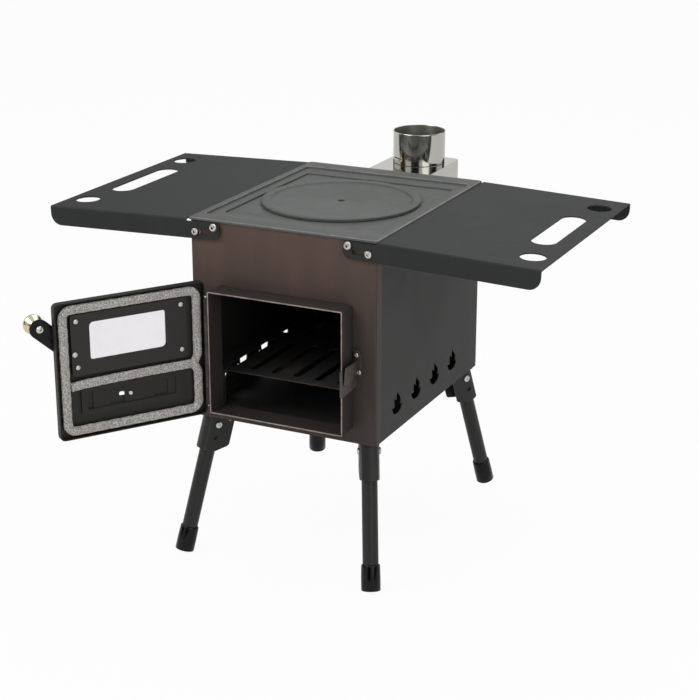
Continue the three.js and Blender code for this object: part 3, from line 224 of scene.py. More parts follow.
FLOOR = 6
floor_mesh = bpy.data.meshes.new("floor")
floor_mesh.from_pydata([(-FLOOR, -FLOOR, 0), (FLOOR, -FLOOR, 0), (FLOOR, FLOOR, 0), (-FLOOR, FLOOR, 0)],
                       [], [(0, 1, 2, 3)])
floor = bpy.data.objects.new("floor", floor_mesh)
bpy.context.collection.objects.link(floor)
paper = Finish("white_floor")
paper_seen = paper.node("LightPath", out="Is Camera Ray")
paper_mirrored = paper.node("LightPath", out="Is Glossy Ray")
paper_through = paper.node("LightPath", out="Is Transmission Ray")
glow = paper.maths("MAXIMUM", paper.maths("MAXIMUM", paper_seen, paper_through), paper_mirrored * 0.6)
paper_body = paper.node("BsdfDiffuse", None, {"Color": (0.88, 0.88, 0.88, 1)})
paper_glow = paper.node("Emission", None, {"Color": WHITE, "Strength": 1.0})
paper_mix = paper.node("MixShader", None, {0: glow * 0.95, 1: paper_body, 2: paper_glow})
floor_mesh.materials.append(paper.shown(paper_mix))

# ---------------------------------------------------------------- firebox walls
# Front, back, two sides and a tray floor of 1.5 mm steel sheet, folded at the corners and spot
# welded. All are sprayed with a matt heatproof paint that has a fine sandy grain. Over the door the
# front carries a painted warm glow of firelight, rising towards the top, and the eased edges are
# lighter with handling wear and a painted highlight.
def sprayed(name, colour, rough=0.6, grain=1.0, mottle=0.16, sheen=0.3, rubbed=None, painted_glow=None):
    """Matt stove paint: a sandy grain, cloudy patches and dust.

    rubbed is a colour and a share; the last, a painted warm glow of light, is a colour and the two heights
    between which it sets in.
    """
    paint = Finish(name)
    speckled = 0.26 * grain
    clouds = paint.noise(9.0, 4.0, 0.6)
    speckle = paint.noise(1500.0, 2.0, 0.7)
    dust = paint.noise(38.0, 5.0, 0.65).rising(0.52, 0.78)
    # A painted warm glow of firelight, rising with height and broken by streaks, is mixed into the colour.
    if painted_glow:
        height = paint.node("SeparateXYZ", None, {0: paint.node("TexCoord", out="Object")}, out="Z")
        streaks = paint.noise(30.0, 3.0, 0.6, paint.place((1.0, 1.0, 0.12)))
        low, high = painted_glow[1]
        glow_share = height.rising(low, high) * 0.75 + streaks.rising(0.35, 0.75) * 0.35
        colour = paint.mixed(glow_share, colour, painted_glow[0])
    shade = clouds * mottle + speckle * speckled + (1 - (mottle + speckled) / 2)
    base = paint.node("VectorMath", {"operation": "SCALE"}, {0: colour, "Scale": shade})
    dusty = paint.mixed(dust * 0.10, base, (0.10, 0.095, 0.09))
    if rubbed:
        worn = paint.noise(55.0, 4.0, 0.7).rising(0.30, 0.62) * rubbed[1]
        dusty = paint.mixed(worn, dusty, rubbed[0])
    fine = paint.bump(speckle, 0.25 * grain, 0.00025)
    normal = paint.bump(clouds, 0.08, 0.0012, fine)
    return paint.shown(paint.surface(
        Base_Color=dusty, Roughness=clouds * 0.16 + dust * 0.08 + (rough - 0.1), Metallic=0.0,
        Specular_IOR_Level=sheen, Normal=normal))


def evaluated(made):
    """The plain mesh that an object and its modifiers come to."""
    depsgraph = bpy.context.evaluated_depsgraph_get()
    mesh = bpy.data.meshes.new_from_object(made.evaluated_get(depsgraph), depsgraph=depsgraph)
    bpy.data.objects.remove(made)
    return mesh


def piece(name, mesh, materials, body, replaced):
    """Puts a finished mesh in its place and lets it ride with its body."""
    mesh.name = name
    while len(mesh.materials) < len(materials):
        mesh.materials.append(None)
    for i, material in enumerate(materials):
        mesh.materials[i] = material
    made = bpy.data.objects.new(name, mesh)
    bpy.context.collection.objects.link(made)
    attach(made, body)
    if replaced:
        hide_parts(*replaced)
    return made


def eased(node, width=0.3, angle=40):
    """A folded or cut sheet with its sharp edges eased; the eased strips take the second material."""
    mesh = nodes[node].data.copy()
    work = bmesh.new()
    work.from_mesh(mesh)
    bmesh.ops.remove_doubles(work, verts=work.verts, dist=2e-5)
    bmesh.ops.dissolve_limit(work, angle_limit=math.radians(0.6), verts=work.verts, edges=work.edges)
    for face in work.faces:
        face.material_index = 0
        face.smooth = True
    work.to_mesh(mesh)
    work.free()
    while len(mesh.materials) < 2:
        mesh.materials.append(None)
    mesh.set_sharp_from_angle(angle=math.radians(angle))
    made = bpy.data.objects.new(node + "_eased", mesh)
    bpy.context.collection.objects.link(made)
    bevel = made.modifiers.new("eased_edges", "BEVEL")
    # On most parts the second material is lighter, for wear and a painted highlight along the edges.
    bevel.width, bevel.segments, bevel.material = width * MM, 2, 1
    bevel.limit_method, bevel.angle_limit = "ANGLE", math.radians(angle)
    bevel.use_clamp_overlap = True
    weighted = made.modifiers.new("flat_faces", "WEIGHTED_NORMAL")
    weighted.keep_sharp = False
    return evaluated(made)


EDGE_BROWN = (0.17, 0.135, 0.115)
# The front's painted firelight glow: its colour and the heights over which it rises.
painted_firelight_glow = ((0.112, 0.067, 0.053), (FIREBOX.z + 0.10, FIREBOX.z + 0.26))
front_black = sprayed("front_black", (0.048, 0.038, 0.034), painted_glow=painted_firelight_glow)
wall_black = sprayed("wall_black", (0.029, 0.0275, 0.0265))
# The walls' eased edges are lighter with wear and a painted highlight.
wall_edge = sprayed("wall_edge", (0.050, 0.046, 0.043), rough=0.5, rubbed=(EDGE_BROWN, 0.35))
for node in ("front_panel", "back_panel", "right_side_panel", "left_side_panel", "bottom_panel"):
    paint = front_black if node == "front_panel" else wall_black
    piece(node + "_sheet", eased(node), [paint, wall_edge], "firebox", [node])

# ---------------------------------------------------------------- fire grate
# A slotted plate on four bent feet carries the wood above the ash. Heat has burnt it to a dry,
# dark scale with a few rusty patches.
scale = Finish("burnt_steel")
patches = scale.noise(26.0, 6.0, 0.6)
flakes = scale.noise(420.0, 4.0, 0.7)
burnt = scale.mixed(patches.rising(0.5, 0.72), (0.030, 0.028, 0.027), (0.085, 0.052, 0.036))
burnt_steel = scale.shown(scale.surface(
    Base_Color=burnt, Roughness=flakes * 0.2 + 0.68, Metallic=0.15,
    Normal=scale.bump(flakes, 0.35, 0.0004)))
piece("fire_grate_plate", eased("fire_grate"), [burnt_steel, burnt_steel], "firebox", ["fire_grate"])


# ---------------------------------------------------------------- top frame and cooking plate
# A pressed frame round the top drops by two small steps to a ledge, and a thick plate lies in
# it. Both are painted a lighter grey than the walls, and the raised rim's crowned edges are lighter:
# rubbed by pans and given a painted highlight.
def rounded(corners, radii, steps=6):
    """Corner points in a plane, each corner turned at its own radius."""
    points = []
    for i, corner in enumerate(corners):
        radius = radii[i] if isinstance(radii, (list, tuple)) else radii
        here = Vector(corner)
        if not radius:
            points.append(here)
            continue
        before = (Vector(corners[i - 1]) - here).normalized()
        after = (Vector(corners[(i + 1) % len(corners)]) - here).normalized()
        half = math.acos(max(-1.0, min(1.0, before.dot(after)))) / 2
        centre = here + (before + after).normalized() * (radius / math.sin(half))
        start = here + before * (radius / math.tan(half)) - centre
        end = here + after * (radius / math.tan(half)) - centre
        turn = math.atan2(start.x * end.y - start.y * end.x, start.dot(end))
        for k in range(steps + 1):
            angle = turn * k / steps
            points.append(centre + Vector((start.x * math.cos(angle) - start.y * math.sin(angle),
                                           start.x * math.sin(angle) + start.y * math.cos(angle))))
    return points


def rectangle(x, y, radius, steps=6):
    """Corner points of a rectangle from x[0] to x[1] and from y[0] to y[1], its corners rounded."""
    return rounded([(x[0], y[0]), (x[1], y[0]), (x[1], y[1]), (x[0], y[1])], radius, steps)


def smoothed(mesh, joined_within, sharp):
    """Joins what meets, turns the faces outwards and smooths all but edges sharper than an angle."""
    work = bmesh.new()
    work.from_mesh(mesh)
    bmesh.ops.remove_doubles(work, verts=work.verts, dist=joined_within)
    bmesh.ops.recalc_face_normals(work, faces=work.faces)
    work.to_mesh(mesh)
    work.free()
    mesh.shade_smooth()
    mesh.set_sharp_from_angle(angle=math.radians(sharp))
    return mesh


def skinned(name, rings, closed=True, sharp=35):
    """Joins rings of as many points each, in millimetres, into one smooth skin."""
    count = len(rings[0])
    verts = [tuple(Vector(p) * MM) for ring in rings for p in ring]
    pairs = [(i, i + 1) for i in range(len(rings) - 1)] + ([(len(rings) - 1, 0)] if closed else [])
    faces = [(a * count + i, a * count + (i + 1) % count, b * count + (i + 1) % count, b * count + i)
             for a, b in pairs for i in range(count)]
    mesh = bpy.data.meshes.new(name)
    mesh.from_pydata(verts, [], faces)
    return smoothed(mesh, 1e-7, sharp)


def drawn(name, runs, dimensions="2D", closed=True):
    """A curve through one or more runs of points in a plane, in millimetres."""
    curve = bpy.data.curves.new(name, "CURVE")
    curve.dimensions = dimensions
    for points in runs:
        line = curve.splines.new("POLY")
        line.points.add(len(points) - 1)
        for point, (x, y) in zip(line.points, points):
            point.co = (x * MM, y * MM, 0, 1)
        line.use_cyclic_u = closed
    return curve


def cut_plate(name, outline, holes, thickness, ease=0.25):
    """A flat plate cut to an outline with holes, lying on z = 0, its edges eased."""
    shape = drawn(name, [outline, *holes])
    shape.fill_mode = "BOTH"
    shape.extrude, shape.bevel_depth = (thickness / 2 - ease) * MM, ease * MM
    shape.bevel_resolution, shape.offset = 1, -ease * MM
    made = bpy.data.objects.new(name, shape)
    bpy.context.collection.objects.link(made)
    mesh = evaluated(made)
    mesh.transform(Matrix.Translation((0, 0, thickness / 2 * MM)))
    return smoothed(mesh, 1e-6, 35)


def circle(x, y, radius, steps=64):
    """Points round a circle about (x, y)."""
    return [(x + radius * math.cos(2 * math.pi * i / steps), y + radius * math.sin(2 * math.pi * i / steps))
            for i in range(steps)]


# The frame's section, one ring each: half width, half depth, corner radius and height.
frame_section = [
    (122.6, 157.8, 3.8, 246.0), (123.0, 158.2, 4.0, 246.3), (123.0, 158.2, 4.0, 247.8),
    (122.7, 157.9, 3.8, 248.5), (122.0, 157.2, 3.4, 249.0), (120.8, 155.9, 2.8, 249.3),
    (119.0, 150.0, 2.6, 249.4), (116.4, 138.5, 3.4, 249.4), (115.0, 134.6, 4.4, 249.2),
    (114.3, 133.6, 4.9, 248.8), (114.0, 133.2, 5.0, 248.2), (114.0, 133.2, 5.0, 246.6),
    (113.7, 132.9, 5.2, 246.15), (113.1, 132.3, 5.6, 245.9), (103.0, 111.0, 4.4, 245.9),
    (102.4, 110.4, 4.1, 245.75), (102.1, 110.1, 4.0, 245.3), (102.1, 110.1, 4.0, 241.3),
    (101.8, 109.8, 4.0, 241.0), (93.4, 101.4, 4.2, 241.0), (93.1, 101.1, 4.0, 240.7),
    (93.1, 101.1, 4.0, 239.5), (103.6, 111.6, 5.5, 239.5), (103.6, 111.6, 5.5, 244.4),
    (115.5, 134.7, 6.5, 244.4), (115.5, 134.7, 6.5, 247.9), (121.5, 156.7, 2.5, 247.9),
    (121.5, 156.7, 2.5, 246.0)]
frame_rings = [[(p.x, p.y, z) for p in rectangle((-x, x), (-y, y), r, 5)] for x, y, r, z in frame_section]
frame_mesh = skinned("top_frame", frame_rings, sharp=42)
frame_mesh.transform(Matrix.Translation(FIREBOX))
top_grey = sprayed("top_grey", (0.076, 0.081, 0.077), rough=0.55, mottle=0.3,
                   rubbed=((0.12, 0.125, 0.12), 0.25))
# The rim's crowned edges take a lighter, shinier finish: wear and a painted highlight.
rim_rubbed = sprayed("rim_rubbed", (0.10, 0.104, 0.098), rough=0.42, sheen=0.5,
                     rubbed=((0.20, 0.195, 0.18), 0.7))
HIGHLIGHT_AND_WEAR_RINGS = (3, 4, 8, 9)  # the two crowned edges of the rim
for face in frame_mesh.polygons:
    face.material_index = 1 if face.index // len(frame_rings[0]) in HIGHLIGHT_AND_WEAR_RINGS else 0
piece("top_frame_pressed", frame_mesh, [top_grey, rim_rubbed], "firebox", ["top_frame"])

PLATE_HALF_WIDTH, PLATE_HALF_DEPTH, PLATE_THICK, PLATE_OPENING = 100.5, 108.5, 3, 89
PLATE_BOTTOM = 241.3
plate_outline = rectangle((-PLATE_HALF_WIDTH, PLATE_HALF_WIDTH), (-PLATE_HALF_DEPTH, PLATE_HALF_DEPTH), 3)
plate_mesh = cut_plate("cooktop_plate", plate_outline, [circle(0, 0, PLATE_OPENING, 128)], PLATE_THICK, 0.3)
plate_mesh.transform(Matrix.Translation(at(0, 0, PLATE_BOTTOM)))
piece("cooking_plate_sheet", plate_mesh, [top_grey], "firebox", ["cooktop_plate"])


# ---------------------------------------------------------------- cooking lid
# A turned disc with a raised rim, a dished middle and a small hole for the lifting hook. A
# locating ring below it drops into the hole of the cooking plate.
def turned(name, profile, steps=96, sharp=32, joined=False):
    """A piece turned about Z from a list of (radius, height) in millimetres."""
    rings = [[(x, y, height) for x, y in circle(0, 0, max(radius, 1e-9), steps)]
             for radius, height in profile]
    return skinned(name, rings, joined, sharp)


lid_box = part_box("cooking_lid")
lid_profile = [(4.25, -0.3), (85, -0.3), (85, -4), (86.5, -4), (87, -3.5), (87, 0.3), (97.5, 0.3), (98, 0.7),
               (98, 2.9), (97.85, 3.35), (97.5, 3.7), (96.8, 3.9), (89.2, 3.9), (88.2, 3.75), (87.3, 3.3),
               (86.4, 2.3), (85.6, 1.9), (84.6, 1.7), (5.0, 1.7), (4.45, 1.5), (4.25, 1.1)]
lid_mesh = turned("cooking_lid", lid_profile, 160, joined=True)
lid_rise = max(height for _, height in lid_profile) * MM
lid_middle = middle(lid_box)
lid_mesh.transform(Matrix.Translation((lid_middle.x, lid_middle.y, lid_box[1][2] - lid_rise)))
piece("cooking_lid_turned", lid_mesh, [top_grey], "lid", ["cooking_lid"])

# ---------------------------------------------------------------- screws and rivets
# Zinc-plated screws with low domed heads and hexagon sockets hold the shelves, the keeper, the
# glass retainer, the legs and the flue pipe. Each one is turned to its own angle as it was driven.
zinc = Finish("zinc_plate")
brushed = zinc.noise(900.0, 3.0, 0.6, zinc.place((1, 1, 0.3)))
cloud = zinc.noise(160.0, 2.0, 0.5)
zinc_plate = zinc.shown(zinc.surface(
    Base_Color=zinc.mixed(cloud, (0.50, 0.49, 0.46), (0.74, 0.73, 0.70)), Metallic=1.0,
    Roughness=brushed * 0.2 + 0.18, Normal=zinc.bump(brushed, 0.1, 0.0001)))


class Pattern(Works):
    """A tree of geometry nodes with named sizes."""

    def __init__(self, name, sizes):
        super().__init__(bpy.data.node_groups.new(name, "GeometryNodeTree"))
        self.keys = {}
        for label, kind in [("Geometry", "Geometry"), *sizes]:
            self.keys[label] = self.socket(label, "INPUT", kind).identifier
        self.socket("Geometry", "OUTPUT", "Geometry")
        self.inlet = self.tree.nodes.new("NodeGroupInput")

    def socket(self, label, way, kind):
        return self.tree.interface.new_socket(name=label, in_out=way, socket_type="NodeSocket" + kind)

    def size(self, label):
        return Socket(self, self.inlet.outputs[label])

    def finished(self, geometry):
        """Real geometry in its material is what comes out."""
        real = self.node("GeometryNodeRealizeInstances", None, {0: geometry})
        painted = self.node("GeometryNodeSetMaterial", None, {
            "Geometry": real, "Material": self.size("Finish")})
        self.tree.links.new(painted.socket, self.tree.nodes.new("NodeGroupOutput").inputs[0])

    def laid_on(self, source, **sizes):
        """The plain mesh that this pattern makes of an object."""
        laid = source.modifiers.new("pattern", "NODES")
        laid.node_group = self.tree
        for label, value in sizes.items():
            laid[self.keys[label.replace("_", " ")]] = value
        return evaluated(source)


screws = Pattern("domed_screws", [
    ("Head Radius", "Float"), ("Head Height", "Float"), ("Shank Radius", "Float"), ("Shank Length", "Float"),
    ("Socket Radius", "Float"), ("Finish", "Material")])


def frustum(low, high, foot, height, sides=28):
    """A round of the screw: the radius at its foot and at its top, where it starts and its height."""
    cone = screws.node("GeometryNodeMeshCone", {"fill_type": "NGON"}, {
        "Vertices": sides, "Radius Top": high, "Radius Bottom": low, "Depth": height})
    lift = screws.node("CombineXYZ", None, {"Z": foot})
    return screws.node("GeometryNodeTransform", None, {"Geometry": cone, "Translation": lift})


head_r, head_h = screws.size("Head Radius"), screws.size("Head Height")
# The dome in four rounds that run a little into one another, as shares of its radius and height.
dome = [(1.0, 1.0, 0.0, 0.42), (1.0, 0.93, 0.40, 0.24), (0.93, 0.80, 0.62, 0.20), (0.80, 0.62, 0.80, 0.14)]
layers = [frustum(head_r * low, head_r * high, head_h * foot, head_h * rise)
          for low, high, foot, rise in dome]
shank_r, shank_l = screws.size("Shank Radius"), screws.size("Shank Length")
shank = frustum(shank_r, shank_r, shank_l * -1, shank_l + head_h * 0.2)
domed = screws.node("GeometryNodeMeshBoolean", {"operation": "UNION"}, {1: [*layers, shank]})
hexagon = frustum(screws.size("Socket Radius"), screws.size("Socket Radius"), head_h * 0.42, head_h, 6)
socketed = screws.node("GeometryNodeMeshBoolean", {"operation": "DIFFERENCE"}, {0: domed, 1: hexagon})
outward = screws.node("GeometryNodeInputNamedAttribute", {"data_type": "FLOAT_VECTOR"}, {"Name": "outward"})
aimed = screws.node("FunctionNodeAlignRotationToVector", {"axis": "Z"}, {"Vector": outward})
spin = screws.node("FunctionNodeRandomValue", {"data_type": "FLOAT"}, {2: 0.0, 3: 6.28, "Seed": 7}, out=1)
spun = screws.node("FunctionNodeAxisAngleToRotation", None, {"Axis": (0, 0, 1), "Angle": spin})
driven = screws.node("FunctionNodeRotateRotation", {"rotation_space": "LOCAL"}, {0: aimed, 1: spun})
screws.finished(screws.node("GeometryNodeInstanceOnPoints", None, {
    "Points": screws.size("Geometry"), "Instance": socketed, "Rotation": driven}))


def fixings(name, places, body, replaced, head, shank, socket, finish=zinc_plate):
    """Screws at (place under the head, outward direction); head and shank are radius and height in mm."""
    mesh = bpy.data.meshes.new(name)
    mesh.from_pydata([tuple(place) for place, _ in places], [], [])
    directions = mesh.attributes.new("outward", "FLOAT_VECTOR", "POINT")
    for i, (_, direction) in enumerate(places):
        directions.data[i].vector = direction
    source = bpy.data.objects.new(name, mesh)
    bpy.context.collection.objects.link(source)
    made = screws.laid_on(
        source, Head_Radius=head[0] * MM, Head_Height=head[1] * MM, Shank_Radius=shank[0] * MM,
        Shank_Length=shank[1] * MM, Socket_Radius=socket * MM, Finish=finish)
    made.shade_smooth()
    made.set_sharp_from_angle(angle=math.radians(38))
    return piece(name, made, [finish], body, replaced)


FORWARD, BACKWARD = Vector((0, -1, 0)), Vector((0, 1, 0))

# ---------------------------------------------------------------- throat, hinge and keeper
# A welded sheet throat stands out of the front, with the fixed halves of the door hinge on its
# left and a bent keeper beside its right edge, held by two screws. Its front rim is a thin bright
# line: rubbed by the door and given a painted highlight.
throat_black = sprayed("throat_black", (0.040, 0.034, 0.031))
rim_worn = sprayed("rim_worn", (0.20, 0.145, 0.13), rough=0.42, rubbed=((0.42, 0.33, 0.30), 0.8))
RIM_FRONT = -182.7
throat_mesh = eased("door_throat", 0.35)
# The rim's front faces join its eased edges in the lighter rim finish, worn and painted with a highlight.
for face in throat_mesh.polygons:
    if face.center.y < at(0, RIM_FRONT, 0).y:
        face.material_index = 1
    elif face.material_index == 1:
        face.material_index = 0
piece("door_throat_welded", throat_mesh, [throat_black, rim_worn], "firebox", ["door_throat"])
THROAT_SHIFT, PANEL_FACE = 2.6, -156.2
keeper_x, keeper_top, keeper_bottom = 95.2, 104.3, 71.4
# The closed door's outer face, and the face that the keeper is screwed to.
pan_front, plate_y = -193.3, PANEL_FACE - 0.3
keeper_front = pan_front - 8.9
keeper_arm = cut_plate("keeper_arm", rounded(
    [(keeper_front, keeper_bottom), (plate_y - 6, keeper_bottom + 2.5), (plate_y, keeper_bottom + 8),
     (plate_y, keeper_top), (pan_front + 5.5, keeper_top), (pan_front + 2, keeper_top - 19),
     (pan_front - 5, keeper_top - 19), (pan_front - 5, keeper_top), (keeper_front, keeper_top)],
    [3, 2, 0, 2, 2, 2, 2, 0.8, 0.8]), [], 2)
# The arm is drawn in (y, z) and stands edge on to the front; the foot is drawn in (x, z) and faces it.
edge_on = Matrix(((0, 0, 1, 0), (1, 0, 0, 0), (0, 1, 0, 0), (0, 0, 0, 1)))
keeper_arm.transform(Matrix.Translation(at(keeper_x - 1 + THROAT_SHIFT, 0, 0)) @ edge_on)
facing = Matrix(((1, 0, 0, 0), (0, 0, -1, 0), (0, 1, 0, 0), (0, 0, 0, 1)))
keeper_foot = cut_plate("keeper_foot", rounded(
    [(keeper_x - 6, keeper_top + 1), (keeper_x, keeper_top + 1), (keeper_x, keeper_bottom + 10),
     (keeper_x + 5.4, keeper_bottom + 10), (keeper_x + 5.4, keeper_top + 3), (keeper_x + 1, keeper_top + 13),
     (keeper_x - 6, keeper_top + 13)], [1, 0, 0, 4, 4, 4, 4]), [], 1.5)
keeper_foot.transform(Matrix.Translation(at(THROAT_SHIFT, plate_y, 0)) @ facing)
handling = sprayed("handled_black", (0.036, 0.033, 0.031), rough=0.48, rubbed=(EDGE_BROWN, 0.4))
piece("latch_keeper_arm", keeper_arm, [handling], "firebox", ["latch_keeper"])
piece("latch_keeper_foot", keeper_foot, [handling], "firebox", [])
fixings("keeper_screws", [(at(x + THROAT_SHIFT, plate_y - 1.5, z), FORWARD) for x, z in
                          ((keeper_x - 1.2, keeper_top + 6.5), (keeper_x + 2.2, keeper_bottom + 18.5))],
        "firebox", [], (3, 2), (1.8, 5), 1.3)
HINGE_X, HINGE_Y = -92, -178.4
piece("door_hinge_leaf_folded", eased("door_hinge_leaf", 0.25, 48), [handling, handling], "door",
      ["door_hinge_leaf"])
pin_low, pin_high = 24.1, 160.9
pin_mesh = turned("hinge_pin", [
    (0, pin_low), (1.1, pin_low), (1.6, pin_low + 1), (1.6, pin_high - 0.1), (2.5, pin_high - 0.1),
    (2.6, pin_high + 0.3), (2.6, pin_high + 1.1), (2.2, pin_high + 1.5), (0, pin_high + 1.6)], 32)
pin_mesh.transform(Matrix.Translation(at(HINGE_X + THROAT_SHIFT, HINGE_Y, 0)))
piece("door_hinge_pin_turned", pin_mesh, [zinc_plate], "firebox", ["door_hinge_pin"])

# ---------------------------------------------------------------- door
# A pressed pan of sheet steel. Behind it a shallow retainer holds the glass with four screws, and
# below that a slotted plate slides between two rails to let air in.
DOOR_OPEN = math.radians(124.5)
door_place = (Matrix.Translation(at(HINGE_X + THROAT_SHIFT, HINGE_Y, 0)) @ Matrix.Rotation(-DOOR_OPEN, 4, "Z")
              @ Matrix.Translation(Vector((-HINGE_X, -HINGE_Y, 0)) * MM))


def on_door(x, y, z):
    """A place drawn on the closed door, carried to where the open door has it."""
    return door_place @ (Vector((x, y, z)) * MM)


door_black = sprayed("door_black", (0.020, 0.019, 0.018), rough=0.55)
# The door parts' eased edges are lighter with wear and a painted highlight.
door_edge = sprayed("door_edge", (0.032, 0.029, 0.027), rough=0.45, rubbed=(EDGE_BROWN, 0.35))
inner_black = sprayed("inner_black", (0.030, 0.027, 0.024), rough=0.5)
soot_black = sprayed("soot_black", (0.024, 0.021, 0.019), rough=0.62)
piece("door_pan", eased("door_panel", 0.4), [door_black, door_edge], "door", ["door_panel"])
piece("retainer_pressed", eased("window_retainer", 0.4), [inner_black, door_edge], "door",
      ["window_retainer"])
piece("air_guide_rails", eased("air_slide_guide", 0.2), [soot_black, door_edge], "door",
      ["air_slide_guide"])
piece("air_slide_plate", eased("air_slide", 0.2), [soot_black, door_edge], "air_slide",
      ["air_slide"])

HEAD_SEAT = -185.7
door_inwards = (door_place.to_3x3() @ Vector((0, 1, 0))).normalized()
retainer_heads = []
for number in (1, 2, 3, 4):
    closed = door_place.inverted() @ middle(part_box(f"retainer_screw_{number}"))
    retainer_heads.append((on_door(closed.x / MM, HEAD_SEAT, closed.z / MM), door_inwards))
fixings("retainer_screws", retainer_heads, "door", [f"retainer_screw_{n}" for n in (1, 2, 3, 4)],
        (2.9, 1.6), (1.5, 7.0), 1.55)

knob_at = door_place.inverted() @ middle(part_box("air_slide_knob"))
slide_knob = turned("air_slide_knob", [
    (0, -12.9), (3.4, -12.8), (4.3, -12.1), (4.9, -9.6), (4.8, -8.4), (3.9, -6.6), (3.3, -4.5), (3.0, -1.7),
    (2.6, -1.1), (1.3, -1.0), (1.3, 5.0), (2.4, 5.0), (2.4, 5.4), (2.1, 5.75), (0, 5.85)], 48)
slide_knob.transform(door_place @ Matrix.Translation((knob_at.x, pan_front * MM, knob_at.z))
                     @ Matrix.Rotation(-math.pi / 2, 4, "X"))
piece("air_slide_knob_turned", slide_knob, [zinc_plate], "air_slide", ["air_slide_knob"])

# ---------------------------------------------------------------- window glass
# A flat pane of clear fire-proof glass, 4 mm thick, lies between the door and its retainer. Smoke
# has clouded it faintly.
pane = Finish("fire_glass")
smoke = pane.noise(60.0, 3.0, 0.5)
fire_glass = pane.shown(pane.surface(
    Base_Color=pane.mixed(smoke.rising(0.4, 0.9), (0.82, 0.805, 0.825), (0.78, 0.765, 0.785)),
    Roughness=smoke * 0.02, Transmission_Weight=1.0, IOR=1.47))


def finish_nodes(material, *names):
    """Gives CAD nodes that stay as they are a finish."""
    for name in names:
        for slot in nodes[name].material_slots:
            slot.material = material


finish_nodes(fire_glass, "window_glass")

# ---------------------------------------------------------------- rope seal
# A braided glass-fibre rope is glued round the inside of the door, and a second length crosses it
# below the window. Sixteen yarns go round its core, eight each way, over and under one another.
braid = Pattern("braided_rope", [
    ("Yarns", "Int"), ("Half Width", "Float"), ("Half Thickness", "Float"), ("Yarn Radius", "Float"),
    ("Lay", "Float"), ("Step", "Float"), ("Stray Fibres", "Float"), ("Finish", "Material")])
route = braid.node("GeometryNodeResampleCurve", {"mode": "LENGTH"}, {
    "Curve": braid.size("Geometry"), "Length": braid.size("Step")})
whole = braid.node("GeometryNodeSplineLength")
run = braid.node("GeometryNodeSplineParameter", out=1)
turns = braid.maths("ROUND", whole / braid.size("Lay"))
along = run * (turns / whole) * (2 * math.pi)
tangent = braid.node("GeometryNodeInputTangent")
across = braid.node("VectorMath", {"operation": "CROSS_PRODUCT"}, {0: tangent, 1: (0, 0, 1)})
weave = braid.maths("COSINE", along * braid.size("Yarns")) * 0.13


def yarns(way):
    """The yarns that go round the core one way, 1 or -1."""
    made = braid.tree.nodes.new("GeometryNodeDuplicateElements")
    made.domain = "SPLINE"
    braid.tree.links.new(route.socket, made.inputs["Geometry"])
    braid.tree.links.new(braid.size("Yarns").socket, made.inputs["Amount"])
    number = Socket(braid, made.outputs["Duplicate Index"])
    angle = along * way + number * (2 * math.pi) / braid.size("Yarns")
    lift = weave * way + 0.87
    side = braid.maths("COSINE", angle) * lift * braid.size("Half Width")
    rise = braid.maths("SINE", angle) * lift * braid.size("Half Thickness")
    beside = braid.node("VectorMath", {"operation": "SCALE"}, {0: across, "Scale": side})
    above = braid.node("CombineXYZ", None, {"Z": rise})
    shift = braid.node("VectorMath", {"operation": "ADD"}, {0: beside, 1: above})
    return braid.node("GeometryNodeSetPosition", None, {
        "Geometry": Socket(braid, made.outputs["Geometry"]), "Offset": shift})


both_ways = braid.node("GeometryNodeJoinGeometry", None, {0: [yarns(1), yarns(-1)]})


def tube_along(path, radius, sides):
    ring = braid.node("GeometryNodeCurvePrimitiveCircle", {"mode": "RADIUS"}, {
        "Resolution": sides, "Radius": radius})
    return braid.node("GeometryNodeCurveToMesh", None, {
        "Curve": path, "Profile Curve": ring, "Fill Caps": True})


tubes = tube_along(both_ways, braid.size("Yarn Radius"), 5)
heart = tube_along(route, braid.size("Half Thickness") * 0.92, 10)
# Short broken fibres stand out of the rope's two flanks.
facing_up = braid.node("SeparateXYZ", None, {0: braid.node("GeometryNodeInputNormal")}, out="Z")
flank = braid.node("FunctionNodeCompare", {"data_type": "FLOAT", "operation": "LESS_THAN"}, {
    0: braid.maths("ABSOLUTE", facing_up), 1: 0.3})
scattered = braid.tree.nodes.new("GeometryNodeDistributePointsOnFaces")
braid.tree.links.new(tubes.socket, scattered.inputs["Mesh"])
braid.tree.links.new(flank.socket, scattered.inputs["Selection"])
braid.tree.links.new(braid.size("Stray Fibres").socket, scattered.inputs["Density"])
scattered.inputs["Seed"].default_value = 11
fibre = braid.node("GeometryNodeMeshCone", {"fill_type": "NGON"}, {
    "Vertices": 3, "Radius Top": 0.00001, "Radius Bottom": 0.00012, "Depth": 0.0011})
bent = braid.node("FunctionNodeRandomValue", {"data_type": "FLOAT_VECTOR"}, {
    0: (-0.7, -0.7, 0.0), 1: (0.7, 0.7, 6.0), "Seed": 3}, out=0)
bend = braid.node("FunctionNodeEulerToRotation", None, {0: bent})
leaning = braid.node("FunctionNodeRotateRotation", {"rotation_space": "LOCAL"}, {
    0: Socket(braid, scattered.outputs["Rotation"]), 1: bend})
stray = braid.node("GeometryNodeInstanceOnPoints", None, {
    "Points": Socket(braid, scattered.outputs["Points"]), "Instance": fibre, "Rotation": leaning})
braid.finished(braid.node("GeometryNodeJoinGeometry", None, {0: [tubes, heart, stray]}))

rope = Finish("glass_fibre_rope")
yarn_grain = rope.noise(900.0, 3.0, 0.7)
sooty = rope.noise(24.0, 4.0, 0.6).rising(0.45, 0.75)
speck = rope.noise(520.0, 2.0, 0.6).rising(0.38, 0.62)
pale_yarn = rope.mixed(speck, (0.34, 0.335, 0.31), (0.76, 0.74, 0.70))
glass_rope = rope.shown(rope.surface(
    Base_Color=rope.mixed(sooty * 0.45, pale_yarn, (0.46, 0.375, 0.34)), Roughness=yarn_grain * 0.1 + 0.86,
    Specular_IOR_Level=0.25, Normal=rope.bump(yarn_grain, 0.6, 0.0003)))


ROPE_MIDDLE = -187.45


